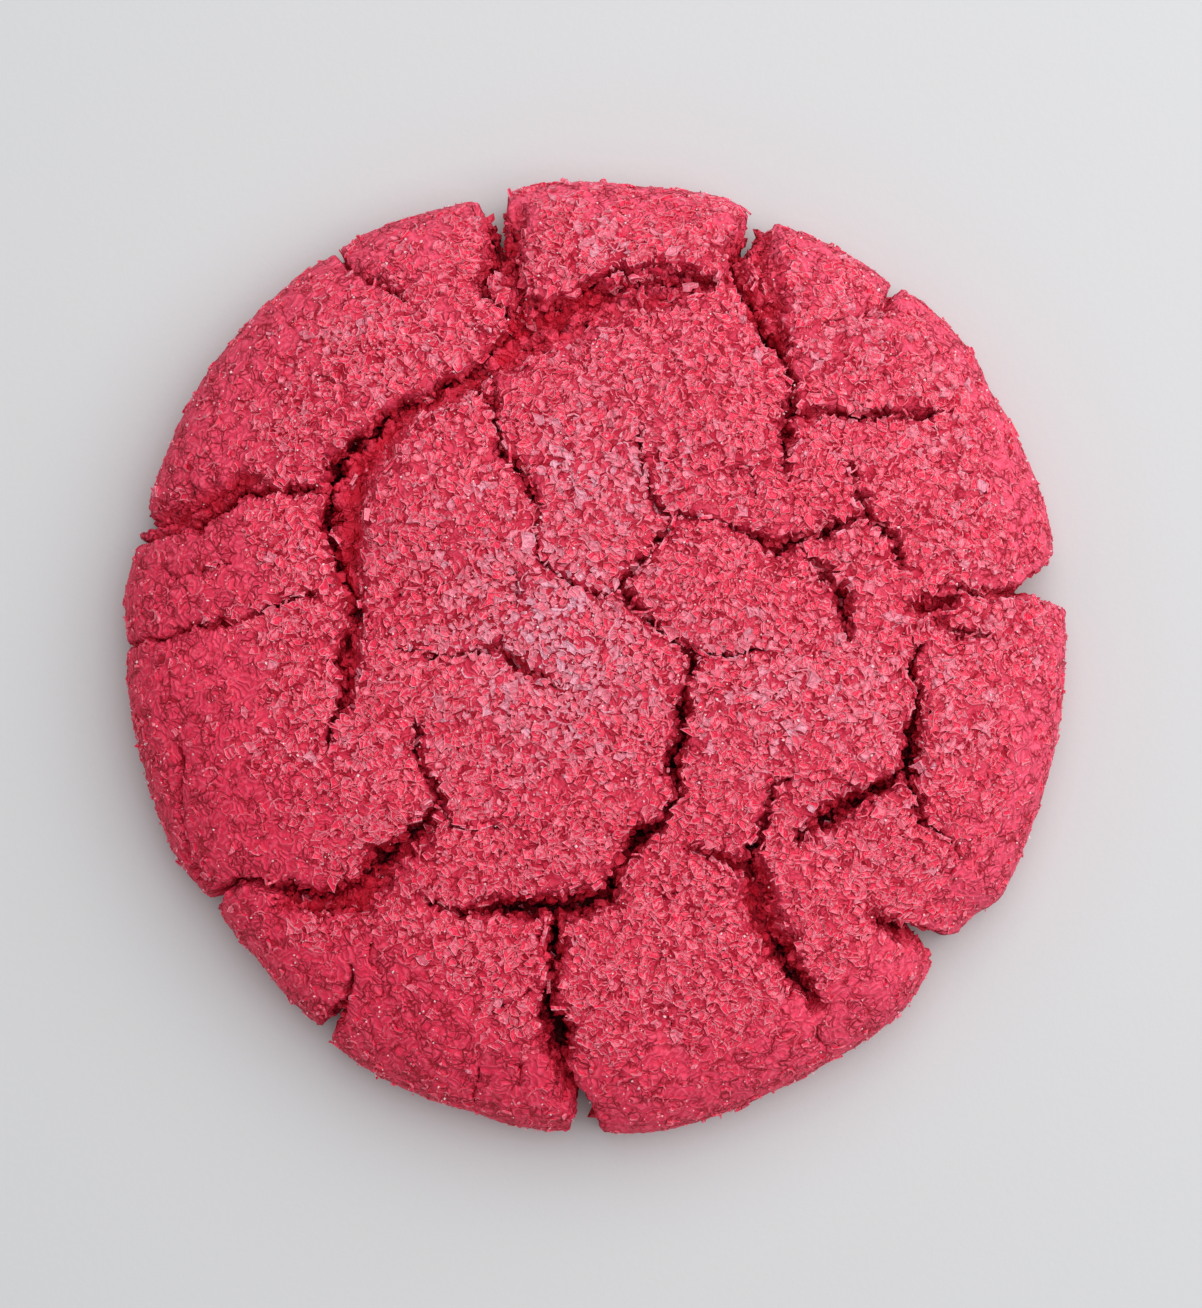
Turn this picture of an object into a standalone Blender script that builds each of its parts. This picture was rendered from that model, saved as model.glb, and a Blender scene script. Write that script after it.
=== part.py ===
"""A polvoron: one round pink shortbread biscuit with a sugared, deeply cracked top.

The dough is a flat-based dome with a steep rounded rim. While it bakes it spreads, and its top
breaks into plates: a ring of rim pieces around a middle plateau, parted by crumbly canyons.
Metres, +Z up. The origin is the centre of the flat base, and +X, +Y lie in the base.
"""

import math

import bmesh
import bpy
import numpy as np

MM = 0.001

# Driving dimensions, in millimetres
BISCUIT_WIDTH = 88.0        # along X
BISCUIT_DEPTH = 89.0        # along Y
BISCUIT_HEIGHT = 17.0       # at the highest plate
GIRTH_HEIGHT = 3.2          # height at which the rim stands out furthest
GIRTH_SHARE = 0.9           # share of the way from the top's centre to the base's edge at which it does
BASE_INSET = 1.1            # the base circle's radius is this much less than the rim's
DOME_POWER = 2.5            # superellipse power of the dome: higher is flatter with a squarer rim
CORE_INSET = 9.0            # cracks at the rim cut towards a core this far inside the outline
CORE_HEIGHT = 4.0
DEEPEST_CUT = 0.85          # share of the way to the core that a crack may go
PLATE_SWELL = 0.4           # each plate stands this much higher in its middle than at its cracks
PLATE_SHOULDER = 2.2        # distance from a crack over which a plate swells
SWELL_LEVEL = 0.4           # share of the swell that the lips lose, while the middles gain the rest
WANDER, WANDER_SPAN = 0.3, 2.7   # how far a crack strays sideways, and over what length
JOG, JOG_SPAN = 0.35, 1.1        # the same for its short jogs
CRACK_OPENING = 1.2         # the lips crumbled back, so a gap is this much wider than its route says
NARROWEST_CRACK = 1.0       # the finest cracks are opened to this width
FULL_DEPTH_SHARE = 0.6      # a crack is at full depth where it has this share of its greatest width
SURFACE_RELIEF = 0.55       # broad unevenness of the dough
RELIEF_SPAN = 11.0          # length of that unevenness

# Fineness
PROFILE_SPACING = 2.2       # spreads the grid's rings evenly from the middle down over the rim
GRID_CELLS = 300            # across the biscuit, before thinning
MOST_TRIANGLES = 9200
SHARED_EDGE_GAP = 0.0002    # crust and base points closer than this are one point

# Pink dough with sugar baked in
DOUGH_COLOUR = (0.62, 0.07, 0.12)
DOUGH_ROUGHNESS = 0.75

# Outline at the rim's widest height: degrees from +X, radius. It steps where a crack parts two plates.
RIM_OUTLINE = [
    (0, 43.5), (7, 44.3), (9, 43.7), (15, 44.2), (35, 44.7), (38, 45.4), (49, 45.6), (52, 45.0),
    (60, 44.7), (69, 44.6), (74, 45.2), (84, 44.5), (98, 45.0), (102, 44.6), (108, 44.6), (120, 45.5),
    (143, 45.0), (155, 44.2), (172, 44.1), (180, 43.5), (194, 42.9), (206, 43.1), (212, 42.2), (222, 41.7),
    (234, 42.8), (236, 43.4), (250, 43.5), (270, 44.2), (278, 44.1), (292, 43.3), (311, 43.3), (318, 42.4),
    (326, 42.4), (329, 43.7), (340, 43.3),
]

# Every crack seen from above: how deep it goes, the share of its width that is floor, and its
# path as x, y and the opening's width there. A "slope" is the gentler wall beside a crack.
CRACKS = {
    "ring_left": dict(depth=8.5, floor=0.45, path=[
        (-7.8, 29.3, 1.2), (-10.2, 26.6, 1.2), (-13, 24.7, 1.4), (-15.4, 23.4, 1.5), (-17.2, 22.7, 1.7),
        (-19, 21.6, 1.7), (-21.8, 19.4, 1.8), (-23.3, 17.5, 1.7), (-24.2, 14.5, 1.8), (-24.2, 11.5, 1.7),
        (-23.4, 8, 1.8), (-22, 5, 1.8), (-21.7, 3, 1.6), (-22.4, 0.8, 1.8), (-23.2, -1.3, 2.0),
        (-22.9, -3.6, 1.7), (-23.5, -6, 1.3), (-24.2, -8.5, 0.7)]),
    "ring_left_slope": dict(depth=3.4, floor=0.2, path=[
        (-4.5, 29, 2.4), (-7.5, 27.3, 4.0), (-10, 25.4, 3.4), (-13.5, 23.5, 2.6), (-17.5, 21.3, 3.4),
        (-21, 17.5, 3.8), (-22.4, 12.5, 3.6), (-22.2, 7.5, 3.6), (-22.1, 0, 3.0), (-22.2, -3.5, 2.6),
        (-23, -6.5, 1.4)]),
    "top_left_radial": dict(depth=9, floor=0.4, path=[
        (-9.4, 46, 3.6), (-9.2, 41, 2.8), (-9.4, 37.5, 2.4), (-10.4, 34.6, 1.6), (-9.6, 33, 1.3),
        (-8.4, 31.8, 1.2), (-7.8, 29.3, 1.2)]),
    "top_left_slope": dict(depth=3.8, floor=0.3, path=[
        (-7.4, 41.5, 2.2), (-7.7, 36, 3.2), (-7, 31, 2.6)]),
    "top_trough": dict(depth=4.2, floor=0.5, path=[
        (-7.5, 29.5, 1.8), (-4.5, 31, 3.4), (0.5, 32.7, 2.8), (5, 34.3, 2.4), (10.5, 34, 1.4)]),
    "top_trough_lip": dict(depth=6, floor=0.3, path=[
        (-7.5, 33, 1.4), (-4.5, 32.2, 1.3), (-1.5, 33, 1.0), (1, 35, 1.2), (4.5, 35.8, 1.4),
        (8, 35.4, 1.3), (11, 34.6, 0.9)]),
    "top_trough_slope": dict(depth=2.5, floor=0.3, path=[
        (-6, 27.7, 2.8), (0.5, 31.2, 2.8), (9.5, 33, 1.8)]),
    "top_right_radial": dict(depth=8, floor=0.4, path=[
        (15.8, 44, 2.6), (14.6, 41, 2.2), (12.7, 37.8, 2.6), (13.2, 34.5, 2.2), (14.7, 31.5, 1.8),
        (16.6, 27.6, 2.2), (18, 24.6, 1.2), (17.8, 22, 1.1), (17.4, 19, 1.5), (17.6, 15.5, 0.5)]),
    "top_right_slope": dict(depth=3.4, floor=0.3, path=[
        (16, 40.5, 2.8), (15.6, 36, 3.8), (16.2, 32, 3.4), (18, 27, 1.5)]),
    "left_radial": dict(depth=7.5, floor=0.45, path=[
        (-44.5, 10, 0.9), (-41, 11.6, 1.5), (-38.8, 12.5, 2.0), (-36.8, 12.4, 2.6), (-34.6, 13.6, 1.9),
        (-32, 14.7, 1.6), (-28, 15, 1.3), (-24.8, 14.8, 1.3)]),
    "left_radial_slope": dict(depth=2.8, floor=0.3, path=[
        (-42, 12.8, 2.2), (-37, 14.4, 3.0), (-31, 16, 1.8)]),
    "lower_left_radial": dict(depth=7.5, floor=0.4, path=[
        (-38, -25, 2.0), (-34.6, -22.2, 1.5), (-32, -21, 1.2), (-28, -21.7, 1.5), (-25, -22, 1.7),
        (-22.2, -20.9, 1.8), (-19.4, -18.9, 1.9), (-17, -16.7, 1.9), (-15, -15, 1.2), (-13.9, -13.5, 0.9)]),
    "lower_left_trough": dict(depth=4, floor=0.55, path=[
        (-28, -22.8, 2.0), (-25, -23, 3.0), (-22.3, -22.3, 3.8), (-19.5, -20.2, 3.8), (-17, -17.8, 3.2),
        (-15.3, -16, 2.2)]),
    "bottom_ring": dict(depth=7.5, floor=0.4, path=[
        (-16, -22.3, 0.6), (-13.7, -23.4, 1.1), (-12.3, -23.9, 1.4), (-10, -23.1, 1.2), (-8.3, -22.9, 1.6),
        (-6.5, -23.2, 2.0), (-3.5, -23.2, 2.5), (-1.5, -23, 2.9), (0.8, -22, 2.9), (2, -20.3, 2.5),
        (3.3, -18, 2.6), (4.8, -16.2, 2.2), (6.5, -15, 1.4)]),
    "bottom_radial": dict(depth=9, floor=0.4, path=[
        (-3.4, -24, 2.2), (-3.8, -28, 2.2), (-4.6, -30.8, 2.0), (-3.6, -33.4, 2.2), (-3.6, -35.9, 3.0),
        (-2.9, -38.2, 2.0), (-1.5, -40.6, 2.2), (-1.1, -43, 2.6), (-1, -46, 2.4)]),
    "lower_right_trough": dict(depth=4.5, floor=0.5, path=[
        (8.5, -17.8, 1.0), (12.5, -19.3, 1.8), (14.6, -20.6, 3.2), (15, -23.5, 3.4), (16.4, -26.5, 3.2),
        (18.2, -29.5, 3.0), (20.3, -32.2, 1.4)]),
    "lower_right_split": dict(depth=7.5, floor=0.35, path=[
        (14.3, -19.5, 1.3), (14.9, -23, 1.2), (16, -25.6, 1.5), (17.6, -28, 2.6), (18.4, -30.3, 2.4),
        (20.4, -32.3, 1.5)]),
    "right_ring": dict(depth=7.5, floor=0.4, path=[
        (29.3, 0.3, 0.9), (28.9, -1, 1.3), (29.6, -3.6, 1.4), (28.9, -6.5, 1.8), (28.5, -9.5, 2.4),
        (29, -12, 1.6), (29.9, -14.6, 1.3), (31.5, -16.4, 0.8), (34.2, -19.2, 0.5)]),
    "lower_right_diagonal": dict(depth=7.5, floor=0.4, path=[
        (28, -10.8, 1.4), (25.8, -12.2, 2.2), (22.4, -14, 2.5), (20.4, -15.6, 2.2), (18.3, -17.3, 1.3)]),
    "centre_south_right": dict(depth=6, floor=0.4, path=[
        (17.5, -12, 0.5), (16, -12.6, 1.0), (15.3, -15.8, 1.3), (14.4, -18.2, 2.2), (14.3, -19.5, 1.8)]),
    "right_radial": dict(depth=6, floor=0.4, path=[
        (44.5, 7.8, 4.6), (40.6, 6.6, 3.2), (37.5, 5.2, 1.6), (34, 5.6, 1.4), (31, 4, 2.4),
        (28.5, 3.8, 1.4)]),
    "right_radial_fork": dict(depth=4.5, floor=0.3, path=[
        (30.5, 3, 1.2), (33, 2, 1.1), (35, 1.8, 0.8), (37, 1, 0.4)]),
    "right_radial_spur": dict(depth=4, floor=0.3, path=[(31, 5, 1.1), (33, 8, 0.4)]),
    "lower_right_radial": dict(depth=6, floor=0.4, path=[
        (35.5, -29, 4.2), (31.5, -27, 3.2), (28.5, -26, 2.5), (26.6, -25, 2.1), (24.9, -23, 0.8)]),
    "lower_left_notch": dict(depth=6, floor=0.3, path=[
        (-26, -36.5, 2.2), (-23.8, -33.3, 1.7), (-22.9, -31.6, 1.3), (-22.2, -28.8, 0.5)]),
    "inner_left": dict(depth=6, floor=0.35, path=[
        (-10.2, 24.2, 1.1), (-9.1, 21.5, 1.4), (-8.4, 18.3, 1.5), (-6.5, 16, 1.2), (-5.2, 13.5, 1.0),
        (-5.1, 10.5, 0.7), (-5, 8.3, 0.7)]),
    "centre_arc": dict(depth=3.5, floor=0.3, path=[
        (-5, 8.3, 0.6), (-2, 6, 0.6), (1, 5, 0.6), (2.6, 5.8, 0.7)]),
    "right_arc": dict(depth=4.5, floor=0.3, path=[
        (2.6, 6.2, 0.9), (5, 8.8, 0.8), (6.9, 11.7, 1.0), (5.2, 14, 0.8), (4.8, 16.5, 0.7), (4, 20, 0.3)]),
    "centre_drop": dict(depth=7, floor=0.4, path=[
        (2.6, 6, 1.0), (3.6, 3.8, 1.1), (6, 1.6, 1.1), (8.1, 0.3, 1.1), (8.9, -1.5, 1.5), (7.5, -5.3, 2.0),
        (8, -7.8, 1.1), (7.2, -10.5, 1.9), (7.4, -13, 1.9), (6.5, -15, 1.4)]),
    "right_block_top": dict(depth=5.5, floor=0.35, path=[
        (6.9, 12, 0.8), (10.3, 12.4, 0.9), (14.6, 10.2, 1.4), (17, 9.3, 2.3), (19.5, 10.3, 1.6),
        (21.5, 11.2, 2.0), (24.5, 12.8, 1.0)]),
    "right_inner": dict(depth=6, floor=0.35, path=[
        (23.5, 17, 1.0), (24, 14.5, 1.2), (25.4, 12.3, 1.3), (27.1, 10.6, 1.5), (28.1, 7.5, 0.7)]),
    "right_block_left": dict(depth=5.5, floor=0.35, path=[
        (19, 9.3, 1.1), (21, 7, 1.7), (22.5, 4.8, 2.1), (22.7, 2, 1.6), (22.9, 0.4, 0.6)]),
    "right_upper_branch": dict(depth=5, floor=0.35, path=[
        (16.3, 23, 0.6), (18.6, 22, 1.5), (24, 22, 1.4), (29, 22, 1.7), (33.5, 23, 0.4)]),
    "centre_right": dict(depth=4.5, floor=0.3, path=[
        (8.8, -0.2, 0.9), (11.3, -0.3, 0.9), (12.8, -0.6, 1.1), (14.5, -0.1, 0.7), (16.5, 0.5, 0.3)]),
    "left_inner": dict(depth=4.5, floor=0.3, path=[
        (-18, 0, 0.5), (-15, -0.5, 0.7), (-8.7, 0.1, 0.9), (-6.6, -1.4, 1.8), (-5, -2.3, 1.0),
        (-3.5, -3.5, 0.4)]),
    "plateau_lower_left": dict(depth=5, floor=0.3, path=[
        (-16.1, -5.8, 0.7), (-16.4, -8.5, 1.3), (-15, -11.5, 0.9), (-13.8, -13.6, 1.2)]),
    "plateau_lower": dict(depth=3, floor=0.3, path=[
        (-14, -14.5, 0.9), (-12.8, -16.3, 1.2), (-11.4, -16.4, 0.9), (-8.5, -15.7, 0.7)]),
    "top_left_split": dict(depth=5.5, floor=0.3, path=[
        (-25.6, 40, 1.0), (-23, 37, 1.4), (-20, 34.8, 1.3), (-17, 32, 0.4)]),
    "left_middle": dict(depth=4, floor=0.3, path=[
        (-45, 1.6, 0.9), (-39.3, 1.5, 0.9), (-37.2, 2.5, 0.8), (-33, 2.6, 0.7), (-29.5, 4.2, 0.7),
        (-25.3, 5.2, 0.7)]),
    "top_right_pocket": dict(depth=4.5, floor=0.3, path=[
        (29, 36, 1.6), (27.2, 32.2, 1.8), (24, 31.4, 0.5), (21, 30.5, 0.3)]),
    "lower_left_step": dict(depth=3, floor=0.3, path=[
        (-38, -8.5, 0.4), (-38, -12.5, 0.6), (-37.4, -18.5, 0.8), (-36.5, -20.5, 0.8), (-34, -21.8, 0.8)]),
}


def smooth_step(low, high, value):
    """0 below low, 1 above high, and an S-shaped rise between."""
    t = np.clip((value - low) / (high - low), 0.0, 1.0)
    return t * t * (3.0 - 2.0 * t)


def lattice_noise(x, y, seed):
    """Smooth noise from -1 to 1: a fixed random value at each whole x and y, blended between."""
    col, row = np.floor(x), np.floor(y)
    u, v = smooth_step(0.0, 1.0, x - col), smooth_step(0.0, 1.0, y - row)

    def corner(dx, dy):
        wave = np.sin((col + dx) * 127.1 + (row + dy) * 311.7 + seed * 74.7) * 43758.5453
        return 2.0 * (wave - np.floor(wave)) - 1.0

    low = corner(0, 0) * (1 - u) + corner(1, 0) * u
    high = corner(0, 1) * (1 - u) + corner(1, 1) * u
    return low * (1 - v) + high * v


def rim_radius(angle):
    """Outline radius at an angle in radians: the listed radii, joined and rounded over 2 degrees."""
    knots = np.array(RIM_OUTLINE, float)
    degrees = np.degrees(angle)
    turns = [np.interp(degrees + shift, knots[:, 0], knots[:, 1], period=360) for shift in (-1, 0, 1)]
    return sum(turns) / len(turns)


def disc_from_square(u, v):
    """A square grid from -1 to 1 bent into a disc: distance from the centre 0 to 1, and angle."""
    x = u * np.sqrt(1.0 - v * v / 2.0)
    y = v * np.sqrt(1.0 - u * u / 2.0)
    return np.minimum(np.hypot(x, y), 1.0), np.arctan2(y, x)


def dome_profile(share, radius):
    """Distance from the axis and height of the whole biscuit at a share, 0 to 1, of the way from
    the top's centre down over the rim to the base's edge."""
    turn = np.clip(share / GIRTH_SHARE, 0.0, 1.0) * math.pi / 2
    out = np.minimum(np.sin(turn) ** (PROFILE_SPACING / DOME_POWER), 1.0)
    rise = (1.0 - out ** DOME_POWER) ** (1.0 / DOME_POWER)
    curl = np.clip((share - GIRTH_SHARE) / (1.0 - GIRTH_SHARE), 0.0, 1.0) * math.pi / 2
    distance = out * radius - BASE_INSET * (1.0 - np.cos(curl))
    height = GIRTH_HEIGHT + (BISCUIT_HEIGHT - GIRTH_HEIGHT) * rise
    height = np.where(share > GIRTH_SHARE, GIRTH_HEIGHT * (1.0 - np.sin(curl)), height)
    return distance, height


def straying(x, y, seed):
    """How far the cracks stray along one axis: a slow wander, and short jogs."""
    wander = WANDER * lattice_noise(x / WANDER_SPAN, y / WANDER_SPAN, seed)
    return wander + JOG * lattice_noise(x / JOG_SPAN, y / JOG_SPAN, seed + 1)


def crack_field(x, y):
    """At each plan point: depth of the deepest crack there, and distance to the nearest lip."""
    deepest = np.zeros_like(x)
    nearest = np.full_like(x, BISCUIT_DEPTH)
    x, y = x + straying(x, y, 3), y + straying(x, y, 5)
    for crack in CRACKS.values():
        path = np.array(crack["path"], float)
        widest = path[:, 2].max()
        for start, end in zip(path[:-1], path[1:]):
            along = end[:2] - start[:2]
            t = ((x - start[0]) * along[0] + (y - start[1]) * along[1]) / (along @ along)
            t = np.clip(t, 0.0, 1.0)
            away = np.hypot(x - start[0] - t * along[0], y - start[1] - t * along[1])
            drawn = start[2] + (end[2] - start[2]) * t
            width = np.maximum(drawn * CRACK_OPENING, NARROWEST_CRACK)
            open_share = 1.0 - smooth_step(crack["floor"], 1.0, away / (width / 2))
            fullness = np.minimum(1.0, drawn / (FULL_DEPTH_SHARE * widest))
            deepest = np.maximum(deepest, crack["depth"] * fullness * open_share)
            nearest = np.minimum(nearest, np.maximum(away - width / 2, 0.0))
    return deepest, nearest


def carve(x, y, z, depth):
    """Moves each point by its depth towards the core, a disc inside the biscuit: straight down
    over the middle, and fanning inwards over the rim, so that the cracks cut the rim as notches."""
    distance = np.hypot(x, y)
    core_distance = np.minimum(distance, BISCUIT_WIDTH / 2 - CORE_INSET)
    inwards = distance - core_distance
    downwards = np.maximum(z - CORE_HEIGHT, 0.0)
    span = np.hypot(inwards, downwards) + 1e-9
    move = np.clip(depth, -span, DEEPEST_CUT * span) / span
    distance_share = (distance - inwards * move) / np.maximum(distance, 1e-9)
    return x * distance_share, y * distance_share, z - downwards * move


def crust_points(u, v):
    """The top and rim: the dome, its plates' swell and broad relief, carved by the cracks."""
    share, angle = disc_from_square(u, v)
    distance, z = dome_profile(share, rim_radius(angle))
    x, y = distance * np.cos(angle), distance * np.sin(angle)
    depth, to_crack = crack_field(x, y)
    swell = PLATE_SWELL * (np.exp(-to_crack / PLATE_SHOULDER) - SWELL_LEVEL)
    broad = SURFACE_RELIEF * lattice_noise(x / RELIEF_SPAN, y / RELIEF_SPAN, 8)
    relief = swell * smooth_step(0.0, GIRTH_HEIGHT, z)
    relief += broad * smooth_step(GIRTH_HEIGHT, 3 * GIRTH_HEIGHT, z)
    return carve(x, y, z, depth + relief)


def base_points(u, v, edge_x, edge_y):
    """The flat underside at height 0, drawn in to the crust's lower edge all round."""
    share, angle = disc_from_square(u, v)
    edge_angle = np.arctan2(edge_y, edge_x)
    order = np.argsort(edge_angle)
    edge_radius = np.interp(angle, edge_angle[order], np.hypot(edge_x, edge_y)[order], period=2 * math.pi)
    return share * edge_radius * np.cos(angle), share * edge_radius * np.sin(angle), 0.0 * share


def add_grid(mesh):
    """A square grid of quads from -1 to 1, as its vertices and their u and v."""
    made = bmesh.ops.create_grid(mesh, x_segments=GRID_CELLS, y_segments=GRID_CELLS, size=1.0)
    verts = made["verts"]
    places = np.array([vert.co[:] for vert in verts])
    return verts, places[:, 0], places[:, 1]


def place(verts, x, y, z):
    """Puts vertices at points given in millimetres."""
    for vert, point in zip(verts, np.column_stack([x, y, z]) * MM):
        vert.co = point


def fit_to_size(mesh):
    """Stretches the mesh to its stated width, depth and height, centred over the origin."""
    points = np.array([vert.co[:] for vert in mesh.verts])
    low, high = points.min(axis=0), points.max(axis=0)
    size = np.array([BISCUIT_WIDTH, BISCUIT_DEPTH, BISCUIT_HEIGHT]) * MM
    centre = (low + high) / 2
    centre[2] = low[2]
    for vert, point in zip(mesh.verts, (points - centre) * size / (high - low)):
        vert.co = point


def dough_material():
    """Dull pink dough."""
    material = bpy.data.materials.new("dough")
    material.use_nodes = True
    shader = material.node_tree.nodes["Principled BSDF"]
    shader.inputs["Base Color"].default_value = (*DOUGH_COLOUR, 1.0)
    shader.inputs["Roughness"].default_value = DOUGH_ROUGHNESS
    shader.inputs["Metallic"].default_value = 0.0
    return material


def add_polvoron():
    """The whole biscuit as one closed body: crust and base share their edge, then it is thinned."""
    mesh = bmesh.new()
    crust, u, v = add_grid(mesh)
    x, y, z = crust_points(u, v)
    border = np.maximum(np.abs(u), np.abs(v)) > 1.0 - 1e-6
    z[border] = 0.0
    place(crust, x, y, z)
    base, base_u, base_v = add_grid(mesh)
    place(base, *base_points(base_u, base_v, x[border], y[border]))
    bmesh.ops.remove_doubles(mesh, verts=mesh.verts[:], dist=SHARED_EDGE_GAP * MM)
    bmesh.ops.recalc_face_normals(mesh, faces=mesh.faces[:])
    fit_to_size(mesh)

    data = bpy.data.meshes.new("polvoron")
    mesh.to_mesh(data)
    mesh.free()
    data.materials.append(dough_material())
    data.shade_smooth()
    biscuit = bpy.data.objects.new("polvoron", data)
    bpy.context.scene.collection.objects.link(biscuit)

    thin = biscuit.modifiers.new("thin", "DECIMATE")
    thin.ratio = MOST_TRIANGLES / (2 * len(data.polygons))
    thin.use_collapse_triangulate = True
    return biscuit


for old in list(bpy.data.objects):
    bpy.data.objects.remove(old)
add_polvoron()
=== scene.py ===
import itertools
import math

import bpy
import numpy as np
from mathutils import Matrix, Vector


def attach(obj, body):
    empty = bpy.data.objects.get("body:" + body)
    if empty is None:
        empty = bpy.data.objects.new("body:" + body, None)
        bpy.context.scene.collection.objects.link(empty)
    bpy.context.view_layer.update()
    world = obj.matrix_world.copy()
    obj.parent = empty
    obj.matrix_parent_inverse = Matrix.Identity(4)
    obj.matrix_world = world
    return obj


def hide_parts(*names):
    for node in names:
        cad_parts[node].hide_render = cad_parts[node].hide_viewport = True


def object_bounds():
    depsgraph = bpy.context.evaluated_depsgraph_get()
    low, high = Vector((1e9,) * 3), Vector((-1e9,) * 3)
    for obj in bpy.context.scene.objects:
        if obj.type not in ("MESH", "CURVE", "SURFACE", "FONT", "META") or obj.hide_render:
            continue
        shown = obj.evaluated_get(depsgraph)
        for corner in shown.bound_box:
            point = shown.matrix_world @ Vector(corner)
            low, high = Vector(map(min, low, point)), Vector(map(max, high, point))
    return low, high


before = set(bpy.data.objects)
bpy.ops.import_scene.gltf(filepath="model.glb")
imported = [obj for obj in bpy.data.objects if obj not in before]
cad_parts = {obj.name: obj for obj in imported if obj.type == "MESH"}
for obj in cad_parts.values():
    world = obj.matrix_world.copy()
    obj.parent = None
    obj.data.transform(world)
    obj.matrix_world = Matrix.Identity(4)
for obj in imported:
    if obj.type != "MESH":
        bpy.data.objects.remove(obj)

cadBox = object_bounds()
mm = 0.001

# The baked shape, in millimetres: a superellipse dome on a flat base, as the CAD node is built
biscuit = dict(
    width=(cadBox[1].x - cadBox[0].x) / mm,
    depth=(cadBox[1].y - cadBox[0].y) / mm,
    height=(cadBox[1].z - cadBox[0].z) / mm - 0.6,  # the sugar stands on top of this
    sugarRoom=(0.3, 0.2),  # taken off the width and the depth, for the grains that stand out at the rim
    meanRadius=44.2,
    girthHeight=3.2,  # where the rim stands out furthest
    girthShare=0.9,  # share of the way down at which the rim is widest
    baseInset=1.1,
    domePower=2.5,  # higher is flatter, with a squarer rim
    profileSpacing=2.2,  # spreads the grid evenly from the middle down over the rim
    coreInset=9.0,  # cracks at the rim cut towards a core this far inside
    coreHeight=4.0,
    deepestCut=0.85,  # share of the way to the core that a crack may go
    plateSwell=0.4,  # how much a plate rises from its cracks to its middle
    plateShoulder=2.2,
    swellLevel=0.4,  # share of the swell that the middles gain, while the lips lose the rest
    broadRelief=0.55,
    broadSpan=11.0,
    baseRings=(0.97, 0.9, 0.75, 0.5, 0.25),  # the rings under the flat base, as shares of its outline
    clearance=0.05,  # no grain or crumb reaches lower than this
    cells=720,  # grid cells across, before thinning
    mostTriangles=180000,
)

# How a crack strays from its route, in millimetres
crackStray = dict(
    wander=0.3,  # sideways, over some millimetres
    wanderSpan=2.7,
    jog=0.35,  # sideways, over one millimetre
    jogSpan=1.1,
    teeth=0.75,  # crumbs that stick out of the lips
    toothSize=0.75,
    toothLevel=0.35,  # balances the teeth against the gaps between them
    toothWidth=1.5,  # narrower cracks than this have smaller teeth
    pinch=0.4,  # share by which the opening varies
    pinchSpan=1.8,
    opening=1.2,  # the lips crumbled back: the gaps are this many times as wide as their routes say
    fill=0.25,  # share of the depth that fallen crumbs take here and there
    fillSpan=2.4,
    narrowest=0.4,
    rubbly=(1.5, 3.2),  # openings between which rubble comes to cover the floor
    fullShare=0.6,  # a crack is at full depth where it has this share of its greatest width
)

# Crumbly relief of the dough, in millimetres
crumbRelief = dict(
    patchSize=1.9,  # the flat patches between the fine wrinkles of the baked skin
    patchHeight=0.1,
    bend=0.5,  # how far the patches' walls bend, and over what length
    bendSpan=1.3,
    pebbleSize=0.95,
    pebbleHeight=0.1,
    crumbSize=1.05,  # the crumbs that the dough breaks along
    crumbHeight=0.5,
    tornHeight=0.35,  # the same beside a lip
    tornReach=0.9,
    giveWay=(0.25, 1.6),  # crack depths between which the skin gives way to crumb
    patchEdge=0.2,  # how far inside its wall a patch is flat, and how wide the crease between two looks
    creaseWidth=0.12,
    overBase=(0.15, 1.5),  # heights between which the relief sets in
    leastHeight=0.4,  # the lowest patch or crumb, as a share of the highest
    tornLevel=0.3,  # balances the crumbs beside a lip against the gaps between them
    rubbleSize=1.2,  # the lumps on the floor of a wide crack
    rubbleHeight=0.9,
)

# Outline at the rim's widest height: degrees from +X, radius in mm. It steps where a crack parts two plates.
rimOutline = [
    (0, 43.5), (7, 44.3), (9, 43.7), (15, 44.2), (35, 44.7), (38, 45.4), (49, 45.6), (52, 45.0),
    (60, 44.7), (69, 44.6), (74, 45.2), (84, 44.5), (98, 45.0), (102, 44.6), (108, 44.6), (120, 45.5),
    (143, 45.0), (155, 44.2), (172, 44.1), (180, 43.5), (194, 42.9), (206, 43.1), (212, 42.2), (222, 41.7),
    (234, 42.8), (236, 43.4), (250, 43.5), (270, 44.2), (278, 44.1), (292, 43.3), (311, 43.3), (318, 42.4),
    (326, 42.4), (329, 43.7), (340, 43.3),
]

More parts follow.
